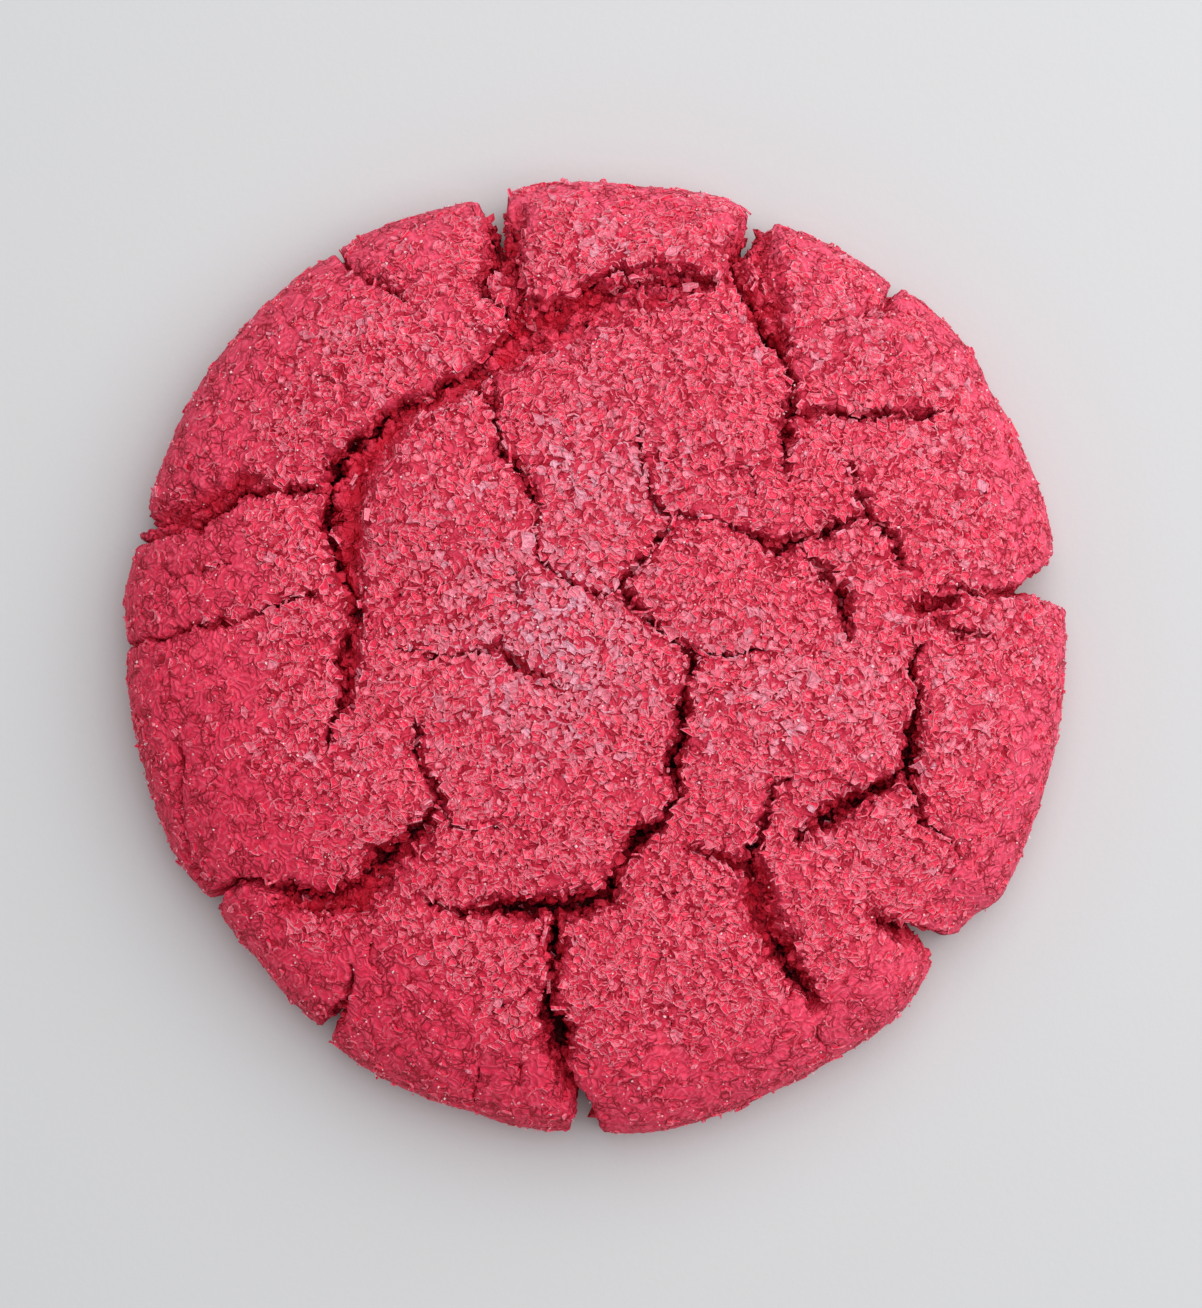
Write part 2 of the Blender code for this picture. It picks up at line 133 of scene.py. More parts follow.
# Routes of the cracks seen from above, in mm: depth, share of the width that is floor, and
# x, y and opening at each turn. A slope is the gentler wall beside a crack.
cracks = {
    "ringLeft": dict(depth=8.5, floor=0.45, path=[
        (-7.8, 29.3, 1.2), (-10.2, 26.6, 1.2), (-13, 24.7, 1.4), (-15.4, 23.4, 1.5), (-17.2, 22.7, 1.7),
        (-19, 21.6, 1.7), (-21.8, 19.4, 1.8), (-23.3, 17.5, 1.7), (-24.2, 14.5, 1.8), (-24.2, 11.5, 1.7),
        (-23.4, 8, 1.8), (-22, 5, 1.8), (-21.7, 3, 1.6), (-22.4, 0.8, 1.8), (-23.2, -1.3, 2.0),
        (-22.9, -3.6, 1.7), (-23.5, -6, 1.3), (-24.2, -8.5, 0.7)]),
    "ringLeftSlope": dict(depth=3.4, floor=0.2, path=[
        (-4.5, 29, 2.4), (-7.5, 27.3, 4.0), (-10, 25.4, 3.4), (-13.5, 23.5, 2.6), (-17.5, 21.3, 3.4),
        (-21, 17.5, 3.8), (-22.4, 12.5, 3.6), (-22.2, 7.5, 3.6), (-22.1, 0, 3.0), (-22.2, -3.5, 2.6),
        (-23, -6.5, 1.4)]),
    "topLeftRadial": dict(depth=9, floor=0.4, path=[
        (-9.4, 46, 3.6), (-9.2, 41, 2.8), (-9.4, 37.5, 2.4), (-10.4, 34.6, 1.6), (-9.6, 33, 1.3),
        (-8.4, 31.8, 1.2), (-7.8, 29.3, 1.2)]),
    "topLeftSlope": dict(depth=3.8, floor=0.3, path=[
        (-7.4, 41.5, 2.2), (-7.7, 36, 3.2), (-7, 31, 2.6)]),
    "topTrough": dict(depth=4.2, floor=0.5, path=[
        (-7.5, 29.5, 1.8), (-4.5, 31, 3.4), (0.5, 32.7, 2.8), (5, 34.3, 2.4), (10.5, 34, 1.4)]),
    "topTroughLip": dict(depth=6, floor=0.3, path=[
        (-7.5, 33, 1.4), (-4.5, 32.2, 1.3), (-1.5, 33, 1.0), (1, 35, 1.2), (4.5, 35.8, 1.4),
        (8, 35.4, 1.3), (11, 34.6, 0.9)]),
    "topTroughSlope": dict(depth=2.5, floor=0.3, path=[(-6, 27.7, 2.8), (0.5, 31.2, 2.8), (9.5, 33, 1.8)]),
    "topRightRadial": dict(depth=8, floor=0.4, path=[
        (15.8, 44, 2.6), (14.6, 41, 2.2), (12.7, 37.8, 2.6), (13.2, 34.5, 2.2), (14.7, 31.5, 1.8),
        (16.6, 27.6, 2.2), (18, 24.6, 1.2), (17.8, 22, 1.1), (17.4, 19, 1.5), (17.6, 15.5, 0.5)]),
    "topRightSlope": dict(depth=3.4, floor=0.3, path=[
        (16, 40.5, 2.8), (15.6, 36, 3.8), (16.2, 32, 3.4), (18, 27, 1.5)]),
    "leftRadial": dict(depth=7.5, floor=0.45, path=[
        (-44.5, 10, 0.9), (-41, 11.6, 1.5), (-38.8, 12.5, 2.0), (-36.8, 12.4, 2.6), (-34.6, 13.6, 1.9),
        (-32, 14.7, 1.6), (-28, 15, 1.3), (-24.8, 14.8, 1.3)]),
    "leftRadialSlope": dict(depth=2.8, floor=0.3, path=[(-42, 12.8, 2.2), (-37, 14.4, 3.0), (-31, 16, 1.8)]),
    "lowerLeftRadial": dict(depth=7.5, floor=0.4, path=[
        (-38, -25, 2.0), (-34.6, -22.2, 1.5), (-32, -21, 1.2), (-28, -21.7, 1.5), (-25, -22, 1.7),
        (-22.2, -20.9, 1.8), (-19.4, -18.9, 1.9), (-17, -16.7, 1.9), (-15, -15, 1.2), (-13.9, -13.5, 0.9)]),
    "lowerLeftTrough": dict(depth=4, floor=0.55, path=[
        (-28, -22.8, 2.0), (-25, -23, 3.0), (-22.3, -22.3, 3.8), (-19.5, -20.2, 3.8), (-17, -17.8, 3.2),
        (-15.3, -16, 2.2)]),
    "bottomRing": dict(depth=7.5, floor=0.4, path=[
        (-16, -22.3, 0.6), (-13.7, -23.4, 1.1), (-12.3, -23.9, 1.4), (-10, -23.1, 1.2), (-8.3, -22.9, 1.6),
        (-6.5, -23.2, 2.0), (-3.5, -23.2, 2.5), (-1.5, -23, 2.9), (0.8, -22, 2.9), (2, -20.3, 2.5),
        (3.3, -18, 2.6), (4.8, -16.2, 2.2), (6.5, -15, 1.4)]),
    "bottomRadial": dict(depth=9, floor=0.4, path=[
        (-3.4, -24, 2.2), (-3.8, -28, 2.2), (-4.6, -30.8, 2.0), (-3.6, -33.4, 2.2), (-3.6, -35.9, 3.0),
        (-2.9, -38.2, 2.0), (-1.5, -40.6, 2.2), (-1.1, -43, 2.6), (-1, -46, 2.4)]),
    "lowerRightTrough": dict(depth=4.5, floor=0.5, path=[
        (8.5, -17.8, 1.0), (12.5, -19.3, 1.8), (14.6, -20.6, 3.2), (15, -23.5, 3.4), (16.4, -26.5, 3.2),
        (18.2, -29.5, 3.0), (20.3, -32.2, 1.4)]),
    "lowerRightSplit": dict(depth=7.5, floor=0.35, path=[
        (14.3, -19.5, 1.3), (14.9, -23, 1.2), (16, -25.6, 1.5), (17.6, -28, 2.6), (18.4, -30.3, 2.4),
        (20.4, -32.3, 1.5)]),
    "rightRing": dict(depth=7.5, floor=0.4, path=[
        (29.3, 0.3, 0.9), (28.9, -1, 1.3), (29.6, -3.6, 1.4), (28.9, -6.5, 1.8), (28.5, -9.5, 2.4),
        (29, -12, 1.6), (29.9, -14.6, 1.3), (31.5, -16.4, 0.8), (34.2, -19.2, 0.5)]),
    "lowerRightDiagonal": dict(depth=7.5, floor=0.4, path=[
        (28, -10.8, 1.4), (25.8, -12.2, 2.2), (22.4, -14, 2.5), (20.4, -15.6, 2.2), (18.3, -17.3, 1.3)]),
    "centreSouthRight": dict(depth=6, floor=0.4, path=[
        (17.5, -12, 0.5), (16, -12.6, 1.0), (15.3, -15.8, 1.3), (14.4, -18.2, 2.2), (14.3, -19.5, 1.8)]),
    "rightRadial": dict(depth=6, floor=0.4, path=[
        (44.5, 7.8, 4.6), (40.6, 6.6, 3.2), (37.5, 5.2, 1.6), (34, 5.6, 1.4), (31, 4, 2.4),
        (28.5, 3.8, 1.4)]),
    "rightRadialFork": dict(depth=4.5, floor=0.3, path=[
        (30.5, 3, 1.2), (33, 2, 1.1), (35, 1.8, 0.8), (37, 1, 0.4)]),
    "rightRadialSpur": dict(depth=4, floor=0.3, path=[(31, 5, 1.1), (33, 8, 0.4)]),
    "lowerRightRadial": dict(depth=6, floor=0.4, path=[
        (35.5, -29, 4.2), (31.5, -27, 3.2), (28.5, -26, 2.5), (26.6, -25, 2.1), (24.9, -23, 0.8)]),
    "lowerLeftNotch": dict(depth=6, floor=0.3, path=[
        (-26, -36.5, 2.2), (-23.8, -33.3, 1.7), (-22.9, -31.6, 1.3), (-22.2, -28.8, 0.5)]),
    "innerLeft": dict(depth=6, floor=0.35, path=[
        (-10.2, 24.2, 1.1), (-9.1, 21.5, 1.4), (-8.4, 18.3, 1.5), (-6.5, 16, 1.2), (-5.2, 13.5, 1.0),
        (-5.1, 10.5, 0.7), (-5, 8.3, 0.7)]),
    "centreArc": dict(depth=3.5, floor=0.3, path=[
        (-5, 8.3, 0.6), (-2, 6, 0.6), (1, 5, 0.6), (2.6, 5.8, 0.7)]),
    "rightArc": dict(depth=4.5, floor=0.3, path=[
        (2.6, 6.2, 0.9), (5, 8.8, 0.8), (6.9, 11.7, 1.0), (5.2, 14, 0.8), (4.8, 16.5, 0.7), (4, 20, 0.3)]),
    "centreDrop": dict(depth=7, floor=0.4, path=[
        (2.6, 6, 1.0), (3.6, 3.8, 1.1), (6, 1.6, 1.1), (8.1, 0.3, 1.1), (8.9, -1.5, 1.5), (7.5, -5.3, 2.0),
        (8, -7.8, 1.1), (7.2, -10.5, 1.9), (7.4, -13, 1.9), (6.5, -15, 1.4)]),
    "rightBlockTop": dict(depth=5.5, floor=0.35, path=[
        (6.9, 12, 0.8), (10.3, 12.4, 0.9), (14.6, 10.2, 1.4), (17, 9.3, 2.3), (19.5, 10.3, 1.6),
        (21.5, 11.2, 2.0), (24.5, 12.8, 1.0)]),
    "rightInner": dict(depth=6, floor=0.35, path=[
        (23.5, 17, 1.0), (24, 14.5, 1.2), (25.4, 12.3, 1.3), (27.1, 10.6, 1.5), (28.1, 7.5, 0.7)]),
    "rightBlockLeft": dict(depth=5.5, floor=0.35, path=[
        (19, 9.3, 1.1), (21, 7, 1.7), (22.5, 4.8, 2.1), (22.7, 2, 1.6), (22.9, 0.4, 0.6)]),
    "rightUpperBranch": dict(depth=5, floor=0.35, path=[
        (16.3, 23, 0.6), (18.6, 22, 1.5), (24, 22, 1.4), (29, 22, 1.7), (33.5, 23, 0.4)]),
    "centreRight": dict(depth=4.5, floor=0.3, path=[
        (8.8, -0.2, 0.9), (11.3, -0.3, 0.9), (12.8, -0.6, 1.1), (14.5, -0.1, 0.7), (16.5, 0.5, 0.3)]),
    "leftInner": dict(depth=4.5, floor=0.3, path=[
        (-18, 0, 0.5), (-15, -0.5, 0.7), (-8.7, 0.1, 0.9), (-6.6, -1.4, 1.8), (-5, -2.3, 1.0),
        (-3.5, -3.5, 0.4)]),
    "plateauLowerLeft": dict(depth=5, floor=0.3, path=[
        (-16.1, -5.8, 0.7), (-16.4, -8.5, 1.3), (-15, -11.5, 0.9), (-13.8, -13.6, 1.2)]),
    "plateauLower": dict(depth=3, floor=0.3, path=[
        (-14, -14.5, 0.9), (-12.8, -16.3, 1.2), (-11.4, -16.4, 0.9), (-8.5, -15.7, 0.7)]),
    "topLeftSplit": dict(depth=5.5, floor=0.3, path=[
        (-25.6, 40, 1.0), (-23, 37, 1.4), (-20, 34.8, 1.3), (-17, 32, 0.4)]),
    "leftMiddle": dict(depth=4, floor=0.3, path=[
        (-45, 1.6, 0.9), (-39.3, 1.5, 0.9), (-37.2, 2.5, 0.8), (-33, 2.6, 0.7), (-29.5, 4.2, 0.7),
        (-25.3, 5.2, 0.7)]),
    "topRightPocket": dict(depth=4.5, floor=0.3, path=[
        (29, 36, 1.6), (27.2, 32.2, 1.8), (24, 31.4, 0.5), (21, 30.5, 0.3)]),
    "lowerLeftStep": dict(depth=3, floor=0.3, path=[
        (-38, -8.5, 0.4), (-38, -12.5, 0.6), (-37.4, -18.5, 0.8), (-36.5, -20.5, 0.8), (-34, -21.8, 0.8)]),
}

# Hairline splits of the skin: x, y at each turn
hairlines = [
    [(-40, 8), (-38.5, 7), (-33, 8.5)],
    [(-19.5, 4.5), (-14, 6), (-12.5, 6)], [(-28, 26), (-26.5, 25.5), (-23.5, 24.7)],
    [(-8.5, 2.5), (-8.5, 0.5)], [(-7.5, 7), (-7, 5)], [(1, 22), (0.5, 19)],
    [(9.5, 16.5), (11.5, 16), (13.5, 16.5), (14.5, 15), (14.5, 14)], [(5, 17.5), (7, 17.5)],
    [(23, 28), (23, 26.5)], [(28, 29.5), (28, 27.5)], [(27, 27), (26.5, 25.5)], [(30.5, 12), (32.6, 13)],
    [(32.5, 16.6), (35.5, 17.2)], [(-20.5, -26.5), (-20.5, -28), (-19, -29.5), (-19.5, -31.5), (-21, -32.5)],
    [(-9.5, -33), (-8.5, -32), (-6, -31)], [(-11, -38), (-11, -41)], [(-7, -37.5), (-7, -40)],
    [(20.5, -34.5), (21, -36)], [(6, -22.5), (7.5, -22)], [(7, -33), (7, -35.5)],
]
hairlineCut = dict(depth=1.3, width=0.45, floor=0.1)


def smoothStep(low, high, value):  # 0 below low, 1 above high, an S-shaped rise between
    t = np.clip((value - low) / (high - low), 0.0, 1.0)
    return t * t * (3.0 - 2.0 * t)


# What is left over of a large sine of the whole column and row: a fixed random value from 0 to 1
def cornerValue(column, row, seed):
    wave = np.sin(column * 127.1 + row * 311.7 + seed * 74.7) * 43758.5453
    return wave - np.floor(wave)


def latticeNoise(x, y, span, seed):  # random values at points a span apart, blended smoothly between: -1 to 1
    x, y = x / span, y / span
    column, row = np.floor(x), np.floor(y)
    u, v = smoothStep(0, 1, x - column), smoothStep(0, 1, y - row)
    low = cornerValue(column, row, seed) * (1 - u) + cornerValue(column + 1, row, seed) * u
    high = cornerValue(column, row + 1, seed) * (1 - u) + cornerValue(column + 1, row + 1, seed) * u
    return 2.0 * (low * (1 - v) + high * v) - 1.0


# Space cut into cells round one random point in each whole cube. At each point: how much nearer its own
# cell's middle is than the next one, which is 0 at the wall between them, and the cell's random value.
def cellNoise(points, size, seed):
    x, y, z = points.T / size
    nearest, second, value = np.full_like(x, 9.0), np.full_like(x, 9.0), np.zeros_like(x)
    for stepX, stepY, stepZ in itertools.product((-1, 0, 1), repeat=3):
        column, row, layer = np.floor(x) + stepX, np.floor(y) + stepY, np.floor(z) + stepZ
        own = cornerValue(column, row + 37 * layer, seed)
        awayX = column + own - x
        awayY = row + cornerValue(column, row + 37 * layer, seed + 1) - y
        awayZ = layer + cornerValue(column, row + 37 * layer, seed + 2) - z
        away = np.sqrt(awayX ** 2 + awayY ** 2 + awayZ ** 2)
        second = np.minimum(second, np.maximum(nearest, away))
        value = np.where(away < nearest, own, value)
        nearest = np.minimum(nearest, away)
    return second - nearest, value


def rimRadius(angle):  # the listed radii joined by lines, and the mean of three readings a degree apart
    knots = np.array(rimOutline, float)
    degrees = np.degrees(angle)
    return sum(np.interp(degrees + shift, knots[:, 0], knots[:, 1], period=360) for shift in (-1, 0, 1)) / 3


# Distance from the axis and height, at a share of the way from the top's middle over the rim to the base.
# Above the girth it is a superellipse: out^power + rise^power = 1. Below, a quarter ellipse is drawn in to
# the base.
def domeProfile(share, radius):
    girthShare, power = biscuit["girthShare"], biscuit["domePower"]
    turn = np.clip(share / girthShare, 0, 1) * math.pi / 2
    out = np.minimum(np.sin(turn) ** (biscuit["profileSpacing"] / power), 1.0)
    rise = (1.0 - out ** power) ** (1.0 / power)
    curl = np.clip((share - girthShare) / (1.0 - girthShare), 0, 1) * math.pi / 2
    distance = out * radius - biscuit["baseInset"] * (1.0 - np.cos(curl))
    height = biscuit["girthHeight"] + (biscuit["height"] - biscuit["girthHeight"]) * rise
    return distance, np.where(share > girthShare, biscuit["girthHeight"] * (1.0 - np.sin(curl)), height)


def straying(x, y):  # how far the cracks stray from their routes: two layers of noise along each axis
    return [crackStray["wander"] * latticeNoise(x, y, crackStray["wanderSpan"], seed)
            + crackStray["jog"] * latticeNoise(x, y, crackStray["jogSpan"], seed + 1) for seed in (3, 5)]


# At each point seen from above: the depth of the deepest crack, the distance to the nearest lip, and how much
# of the place is rubble. Each crack is a band round its route: full depth over its floor, and an S-shaped
# wall up to its lip.
def crackField(x, y):
    strayX, strayY = straying(x, y)
    x, y = x + strayX, y + strayY
    deepest, nearest, rubble = np.zeros_like(x), np.full_like(x, biscuit["depth"]), np.zeros_like(x)
    flat = np.stack([x, y, np.zeros_like(x)], axis=-1)
    teeth = crackStray["teeth"] * (crackStray["toothLevel"] - cellNoise(flat, crackStray["toothSize"], 31)[0])
    pinch = 1 + crackStray["pinch"] * latticeNoise(x, y, crackStray["pinchSpan"], 7)
    filled = 0.5 + 0.5 * latticeNoise(x, y, crackStray["fillSpan"], 9)
    thinPaths = [[(*turn, hairlineCut["width"]) for turn in line] for line in hairlines]
    thinSplits = [dict(hairlineCut, path=path) for path in thinPaths]
    swellReach = 4.0 * biscuit["plateShoulder"]  # further off, a crack takes under 2 % of the swell
    for crack in [*cracks.values(), *thinSplits]:
        path = np.array(crack["path"], float)
        widest = path[:, 2].max()
        for start, end in zip(path[:-1], path[1:]):
            low = np.minimum(start[:2], end[:2]) - swellReach
            high = np.maximum(start[:2], end[:2]) + swellReach
            near = np.flatnonzero((x > low[0]) & (x < high[0]) & (y > low[1]) & (y < high[1]))
            along = end[:2] - start[:2]
            toX, toY = x[near] - start[0], y[near] - start[1]
            t = np.clip((toX * along[0] + toY * along[1]) / (along @ along), 0.0, 1.0)
            away = np.hypot(toX - t * along[0], toY - t * along[1])
            drawn = np.maximum(start[2] + (end[2] - start[2]) * t, crackStray["narrowest"])
            width = drawn * crackStray["opening"] * pinch[near]
            toothShare = np.minimum(1.0, width / crackStray["toothWidth"])
            reach = np.maximum(away + teeth[near] * toothShare, 0.0) / (width / 2)
            openShare = 1.0 - smoothStep(crack["floor"], 1.0, reach)
            depth = crack["depth"] * np.minimum(1.0, drawn / (crackStray["fullShare"] * widest)) * openShare
            deepest[near] = np.maximum(deepest[near], depth * (1 - crackStray["fill"] * filled[near]))
            nearest[near] = np.minimum(nearest[near], np.maximum(away - width / 2, 0.0))
            rubble[near] = np.maximum(rubble[near], smoothStep(*crackStray["rubbly"], drawn) * openShare)
    return deepest, nearest, rubble


# Each point goes its depth towards the core, a disc inside the biscuit: straight down over the middle, and
# fanning inwards over the rim, so that the cracks cut the rim as notches.
def carve(x, y, z, depth):
    distance = np.hypot(x, y)
    inwards = distance - np.minimum(distance, biscuit["width"] / 2 - biscuit["coreInset"])
    downwards = np.maximum(z - biscuit["coreHeight"], 0.0)
    span = np.hypot(inwards, downwards) + 1e-9
    move = np.clip(depth, -span, biscuit["deepestCut"] * span) / span
    share = (distance - inwards * move) / np.maximum(distance, 1e-9)
    return x * share, y * share, z - downwards * move


# The dome with its cracks, before the crumbly relief. A plate sinks towards its lips by
# exp(-distance / shoulder).
def splitDome(share, angle):
    distance, z = domeProfile(share, rimRadius(angle))
    x, y = distance * np.cos(angle), distance * np.sin(angle)
    depth, toCrack, rubble = crackField(x, y)
    swell = biscuit["plateSwell"] * (np.exp(-toCrack / biscuit["plateShoulder"]) - biscuit["swellLevel"])
    broad = biscuit["broadRelief"] * latticeNoise(x, y, biscuit["broadSpan"], 8)
    girth = biscuit["girthHeight"]
    relief = swell * smoothStep(0.0, girth, z) + broad * smoothStep(girth, 3 * girth, z)
    places = np.stack(carve(x, y, z, depth + relief), axis=-1)
    return places, dict(depth=depth, toCrack=toCrack, rubble=rubble)


# A cell's depth as a pebble's height, min(1.6 depth, 1) ^ 0.6: steep at its wall, flat on top
def rounded(inside):
    return np.minimum(1.6 * inside, 1.0) ** 0.6


# Relief out along the normal: flat skin patches and pebbles on a plate, crumbs beside its lips and in its
# cracks, lumps on a wide crack's floor. It fades out at the base. Also given: 1 along the creases between
# skin patches.
def reliefHeight(places, split):
    r = crumbRelief
    inCrack = smoothStep(*r["giveWay"], split["depth"])
    torn = np.exp(-split["toCrack"] / r["tornReach"])
    x, y, z = places.T
    span = r["bendSpan"]
    bend = r["bend"] * np.stack([latticeNoise(x, y, span, 17), latticeNoise(y, z, span, 18), 0 * x], axis=-1)
    inPatch, patch = cellNoise(places + bend, r["patchSize"], 12)
    least = r["leastHeight"]
    skin = r["patchHeight"] * smoothStep(0.0, r["patchEdge"], inPatch) * (least + (1 - least) * patch)
    skin += r["pebbleHeight"] * rounded(cellNoise(places, r["pebbleSize"], 16)[0])
    inCrumb, crumb = cellNoise(places, r["crumbSize"], 20)
    crumbs = rounded(inCrumb) * (least + (1 - least) * crumb)
    inLump, lump = cellNoise(places, r["rubbleSize"], 24)
    lumps = rounded(inLump) * lump
    broken = r["crumbHeight"] * crumbs + r["rubbleHeight"] * split["rubble"] * lumps
    atLip = r["tornHeight"] * torn * (crumbs - r["tornLevel"])
    height = (1 - inCrack) * (skin + atLip) + inCrack * broken
    crease = (1 - smoothStep(0.0, r["creaseWidth"], inPatch)) * (1 - inCrack)
    return height * smoothStep(*r["overBase"], z), crease


# A square grid bent into a disc: x = u sqrt(1 - v^2 / 2), y = v sqrt(1 - u^2 / 2), as the share of the way
# out and the angle.
def discFromSquare(u, v):
    x, y = u * np.sqrt(1.0 - v * v / 2.0), v * np.sqrt(1.0 - u * u / 2.0)
    return np.minimum(np.hypot(x, y), 1.0), np.arctan2(y, x)


def gridNormals(places, cells):  # cross product of the steps to the neighbours along both sides of the grid
    grid = places.reshape(cells + 1, cells + 1, 3)
    normals = np.cross(np.gradient(grid, axis=0), np.gradient(grid, axis=1)).reshape(-1, 3)
    return normals / (np.linalg.norm(normals, axis=1)[:, None] + 1e-12)


def makeMesh(name, points, faces, material, smooth, attributes=None):  # arrays of corners into an object
    mesh = bpy.data.meshes.new(name)
    mesh.vertices.add(len(points))
    mesh.vertices.foreach_set("co", np.ascontiguousarray(points * mm, np.float32).ravel())
    sizes = np.concatenate([np.full(len(block), block.shape[1]) for block in faces])
    corners = np.concatenate([block.ravel() for block in faces])
    mesh.loops.add(len(corners))
    mesh.loops.foreach_set("vertex_index", corners.astype(np.int32))
    mesh.polygons.add(len(sizes))
    mesh.polygons.foreach_set("loop_start", (np.cumsum(sizes) - sizes).astype(np.int32))
    mesh.polygons.foreach_set("use_smooth", np.full(len(sizes), smooth))
    for attributeName, values in (attributes or {}).items():
        layer = mesh.attributes.new(attributeName, "FLOAT", "POINT")
        layer.data.foreach_set("value", values.astype(np.float32))
    mesh.materials.append(material)
    mesh.update(calc_edges=True)
    mesh.validate()
    piece = bpy.data.objects.new(name, mesh)
    bpy.context.scene.collection.objects.link(piece)
    return piece


# Stretches points from their own box to the CAD node's, less the room that the sugar takes round the rim
def fitToFrame(points, low, high):
    across, along = biscuit["sugarRoom"]
    size = np.array([biscuit["width"] - across, biscuit["depth"] - along, biscuit["height"]])
    middle = (low + high) / 2
    middle[2] = low[2]
    return (points - middle) * size / (high - low)


# One shader node, its settings, and a value or a link for each socket: by name, or a list from the first on
def addNode(tree, kind, sockets=(), **settings):
    node = tree.nodes.new("ShaderNode" + kind)
    for key, value in settings.items():
        setattr(node, key, value)
    for key, value in (sockets if isinstance(sockets, dict) else dict(enumerate(sockets))).items():
        if isinstance(value, bpy.types.NodeSocket):
            tree.links.new(value, node.inputs[key])
        else:
            node.inputs[key].default_value = value
    return node


def hexColour(code):  # an sRGB hex colour as linear red, green, blue and alpha
    parts = np.array([int(code[i:i + 2], 16) for i in (1, 3, 5)]) / 255
    linear = np.where(parts <= 0.04045, parts / 12.92, ((parts + 0.055) / 1.055) ** 2.4)
    return (*linear, 1.0)


def newMaterial(name):  # with the object's coordinates in millimetres
    material = bpy.data.materials.new(name)
    material.use_nodes = True
    tree = material.node_tree
    place = addNode(tree, "TexCoord")
    sockets = [place.outputs["Object"], (1 / mm, 1 / mm, 1 / mm)]
    scale = addNode(tree, "VectorMath", sockets, operation="MULTIPLY")
    return material, tree, tree.nodes["Principled BSDF"], scale.outputs[0]


def setSockets(shader, values):  # values that are the same all over the surface
    for name, value in values.items():
        shader.inputs[name].default_value = value


def wrinkles(tree, place, cell, width):  # lines between cells of this size in mm, 1 on a line, 0 off it
    sockets = {"Vector": place, "Scale": 1 / cell}
    cells = addNode(tree, "TexVoronoi", sockets, feature="DISTANCE_TO_EDGE")
    sockets = [cells.outputs["Distance"], 0.0, width / cell, 1.0, 0.0]
    return addNode(tree, "MapRange", sockets).outputs[0]


def strayed(tree, place, span, reach):  # the place pushed about by noise, up to half the reach in mm
    push = addNode(tree, "TexNoise", {"Vector": place, "Scale": 1 / span, "Detail": 1.0})
    sockets = [push.outputs["Color"], (reach, reach, reach), place]
    return addNode(tree, "VectorMath", sockets, operation="MULTIPLY_ADD").outputs[0]


# Ridges this far apart in mm: 0.5 + 0.5 sin(2 pi d / pitch), with d measured along each patch's own direction
def ribs(tree, place, patch, pitch):
    cells = addNode(tree, "TexVoronoi", {"Vector": place, "Scale": 1 / patch})
    ahead = addNode(tree, "VectorMath", [cells.outputs["Color"], (0.5, 0.5, 0.5)], operation="SUBTRACT")
    unit = addNode(tree, "VectorMath", [ahead.outputs[0]], operation="NORMALIZE")
    along = addNode(tree, "VectorMath", [unit.outputs[0], place], operation="DOT_PRODUCT")
    sockets = [along.outputs["Value"], 2 * math.pi / pitch]
    turns = addNode(tree, "Math", sockets, operation="MULTIPLY")
    wave = addNode(tree, "Math", [turns.outputs[0]], operation="SINE")
    return addNode(tree, "MapRange", [wave.outputs[0], -1.0, 1.0]).outputs[0]


# One colour laid over another in turn: the base, then each layer's colour as far as its factor says
def layered(tree, base, layers):
    for factor, code in layers:
        sockets = {"Factor": factor, "A": base, "B": hexColour(code)}
        base = addNode(tree, "Mix", sockets, data_type="RGBA").outputs["Result"]
    return base


doughLook = dict(
    crust="#F4355A",  # baked pink outer dough, as it shows at the shaded lower left
    crustLitSide="#FF5A7B",  # paler towards the lit upper right: painted light
    crestHighlight="#FF8CA2",  # painted highlight on the tops of the fine ribs
    crumb="#D61C38",  # the moister dough inside a crack
    # painted shade deep down a crack
    deepCrackShade="#4A030C",
    soakedShade="#CA2444",  # under the sugar: the dough darker where it took up the syrup, and painted shade between the grains
    # painted shade in the creases between skin patches, in the wrinkle lines and in the valleys between the
    # ribs
    crease="#A81228",
    toasted="#C04A5A",  # the underside, which lay on the tray
    roughness=0.62,
    wrinkleCell=1.5,  # mm between the wrinkles of the rim
    wrinkleWidth=0.13,
    fineCell=0.75,
    fineWidth=0.09,
    fineShare=0.7,  # depth of the fine wrinkles, as a share of the coarse ones
    wrinkleDepth=0.12,
    gapSpan=5 / 3,  # mm from one break in the wrinkles to the next: none runs on for long
    gapLevels=(0.42, 0.56),
    gapLeast=0.25,
    porePitch=0.3,
    poreDepth=0.07,
    ribPatch=1.1,
    ribPitch=0.52,  # drawn coarser than the real ribs, so that they show
    ribHeight=0.1,
    ribShade=0.2,  # how far the valleys between the ribs darken
    crestFrom=0.45,
    crestMix=0.2,
    creaseShade=0.25,
    curlSpan=1.25,
    curlReach=1.2,  # how far the ribs and wrinkles curl
    litSidePlaces=(-35.0, 30.0),  # mm along the diagonal between which the crust turns paler towards the light, as painted light
    soakedShadeCover=(0.4, 1.0),  # shares of sugar cover between which the dough under it turns soaked, with painted shade
    crumbDepths=(0.4, 3.0),  # mm down a crack between which the colour turns to crumb, and then to painted shade deep down
    deepDepths=(3.0, 6.2),
    toastedHeights=(0.1, 1.6),
    toastedMix=0.8,
)
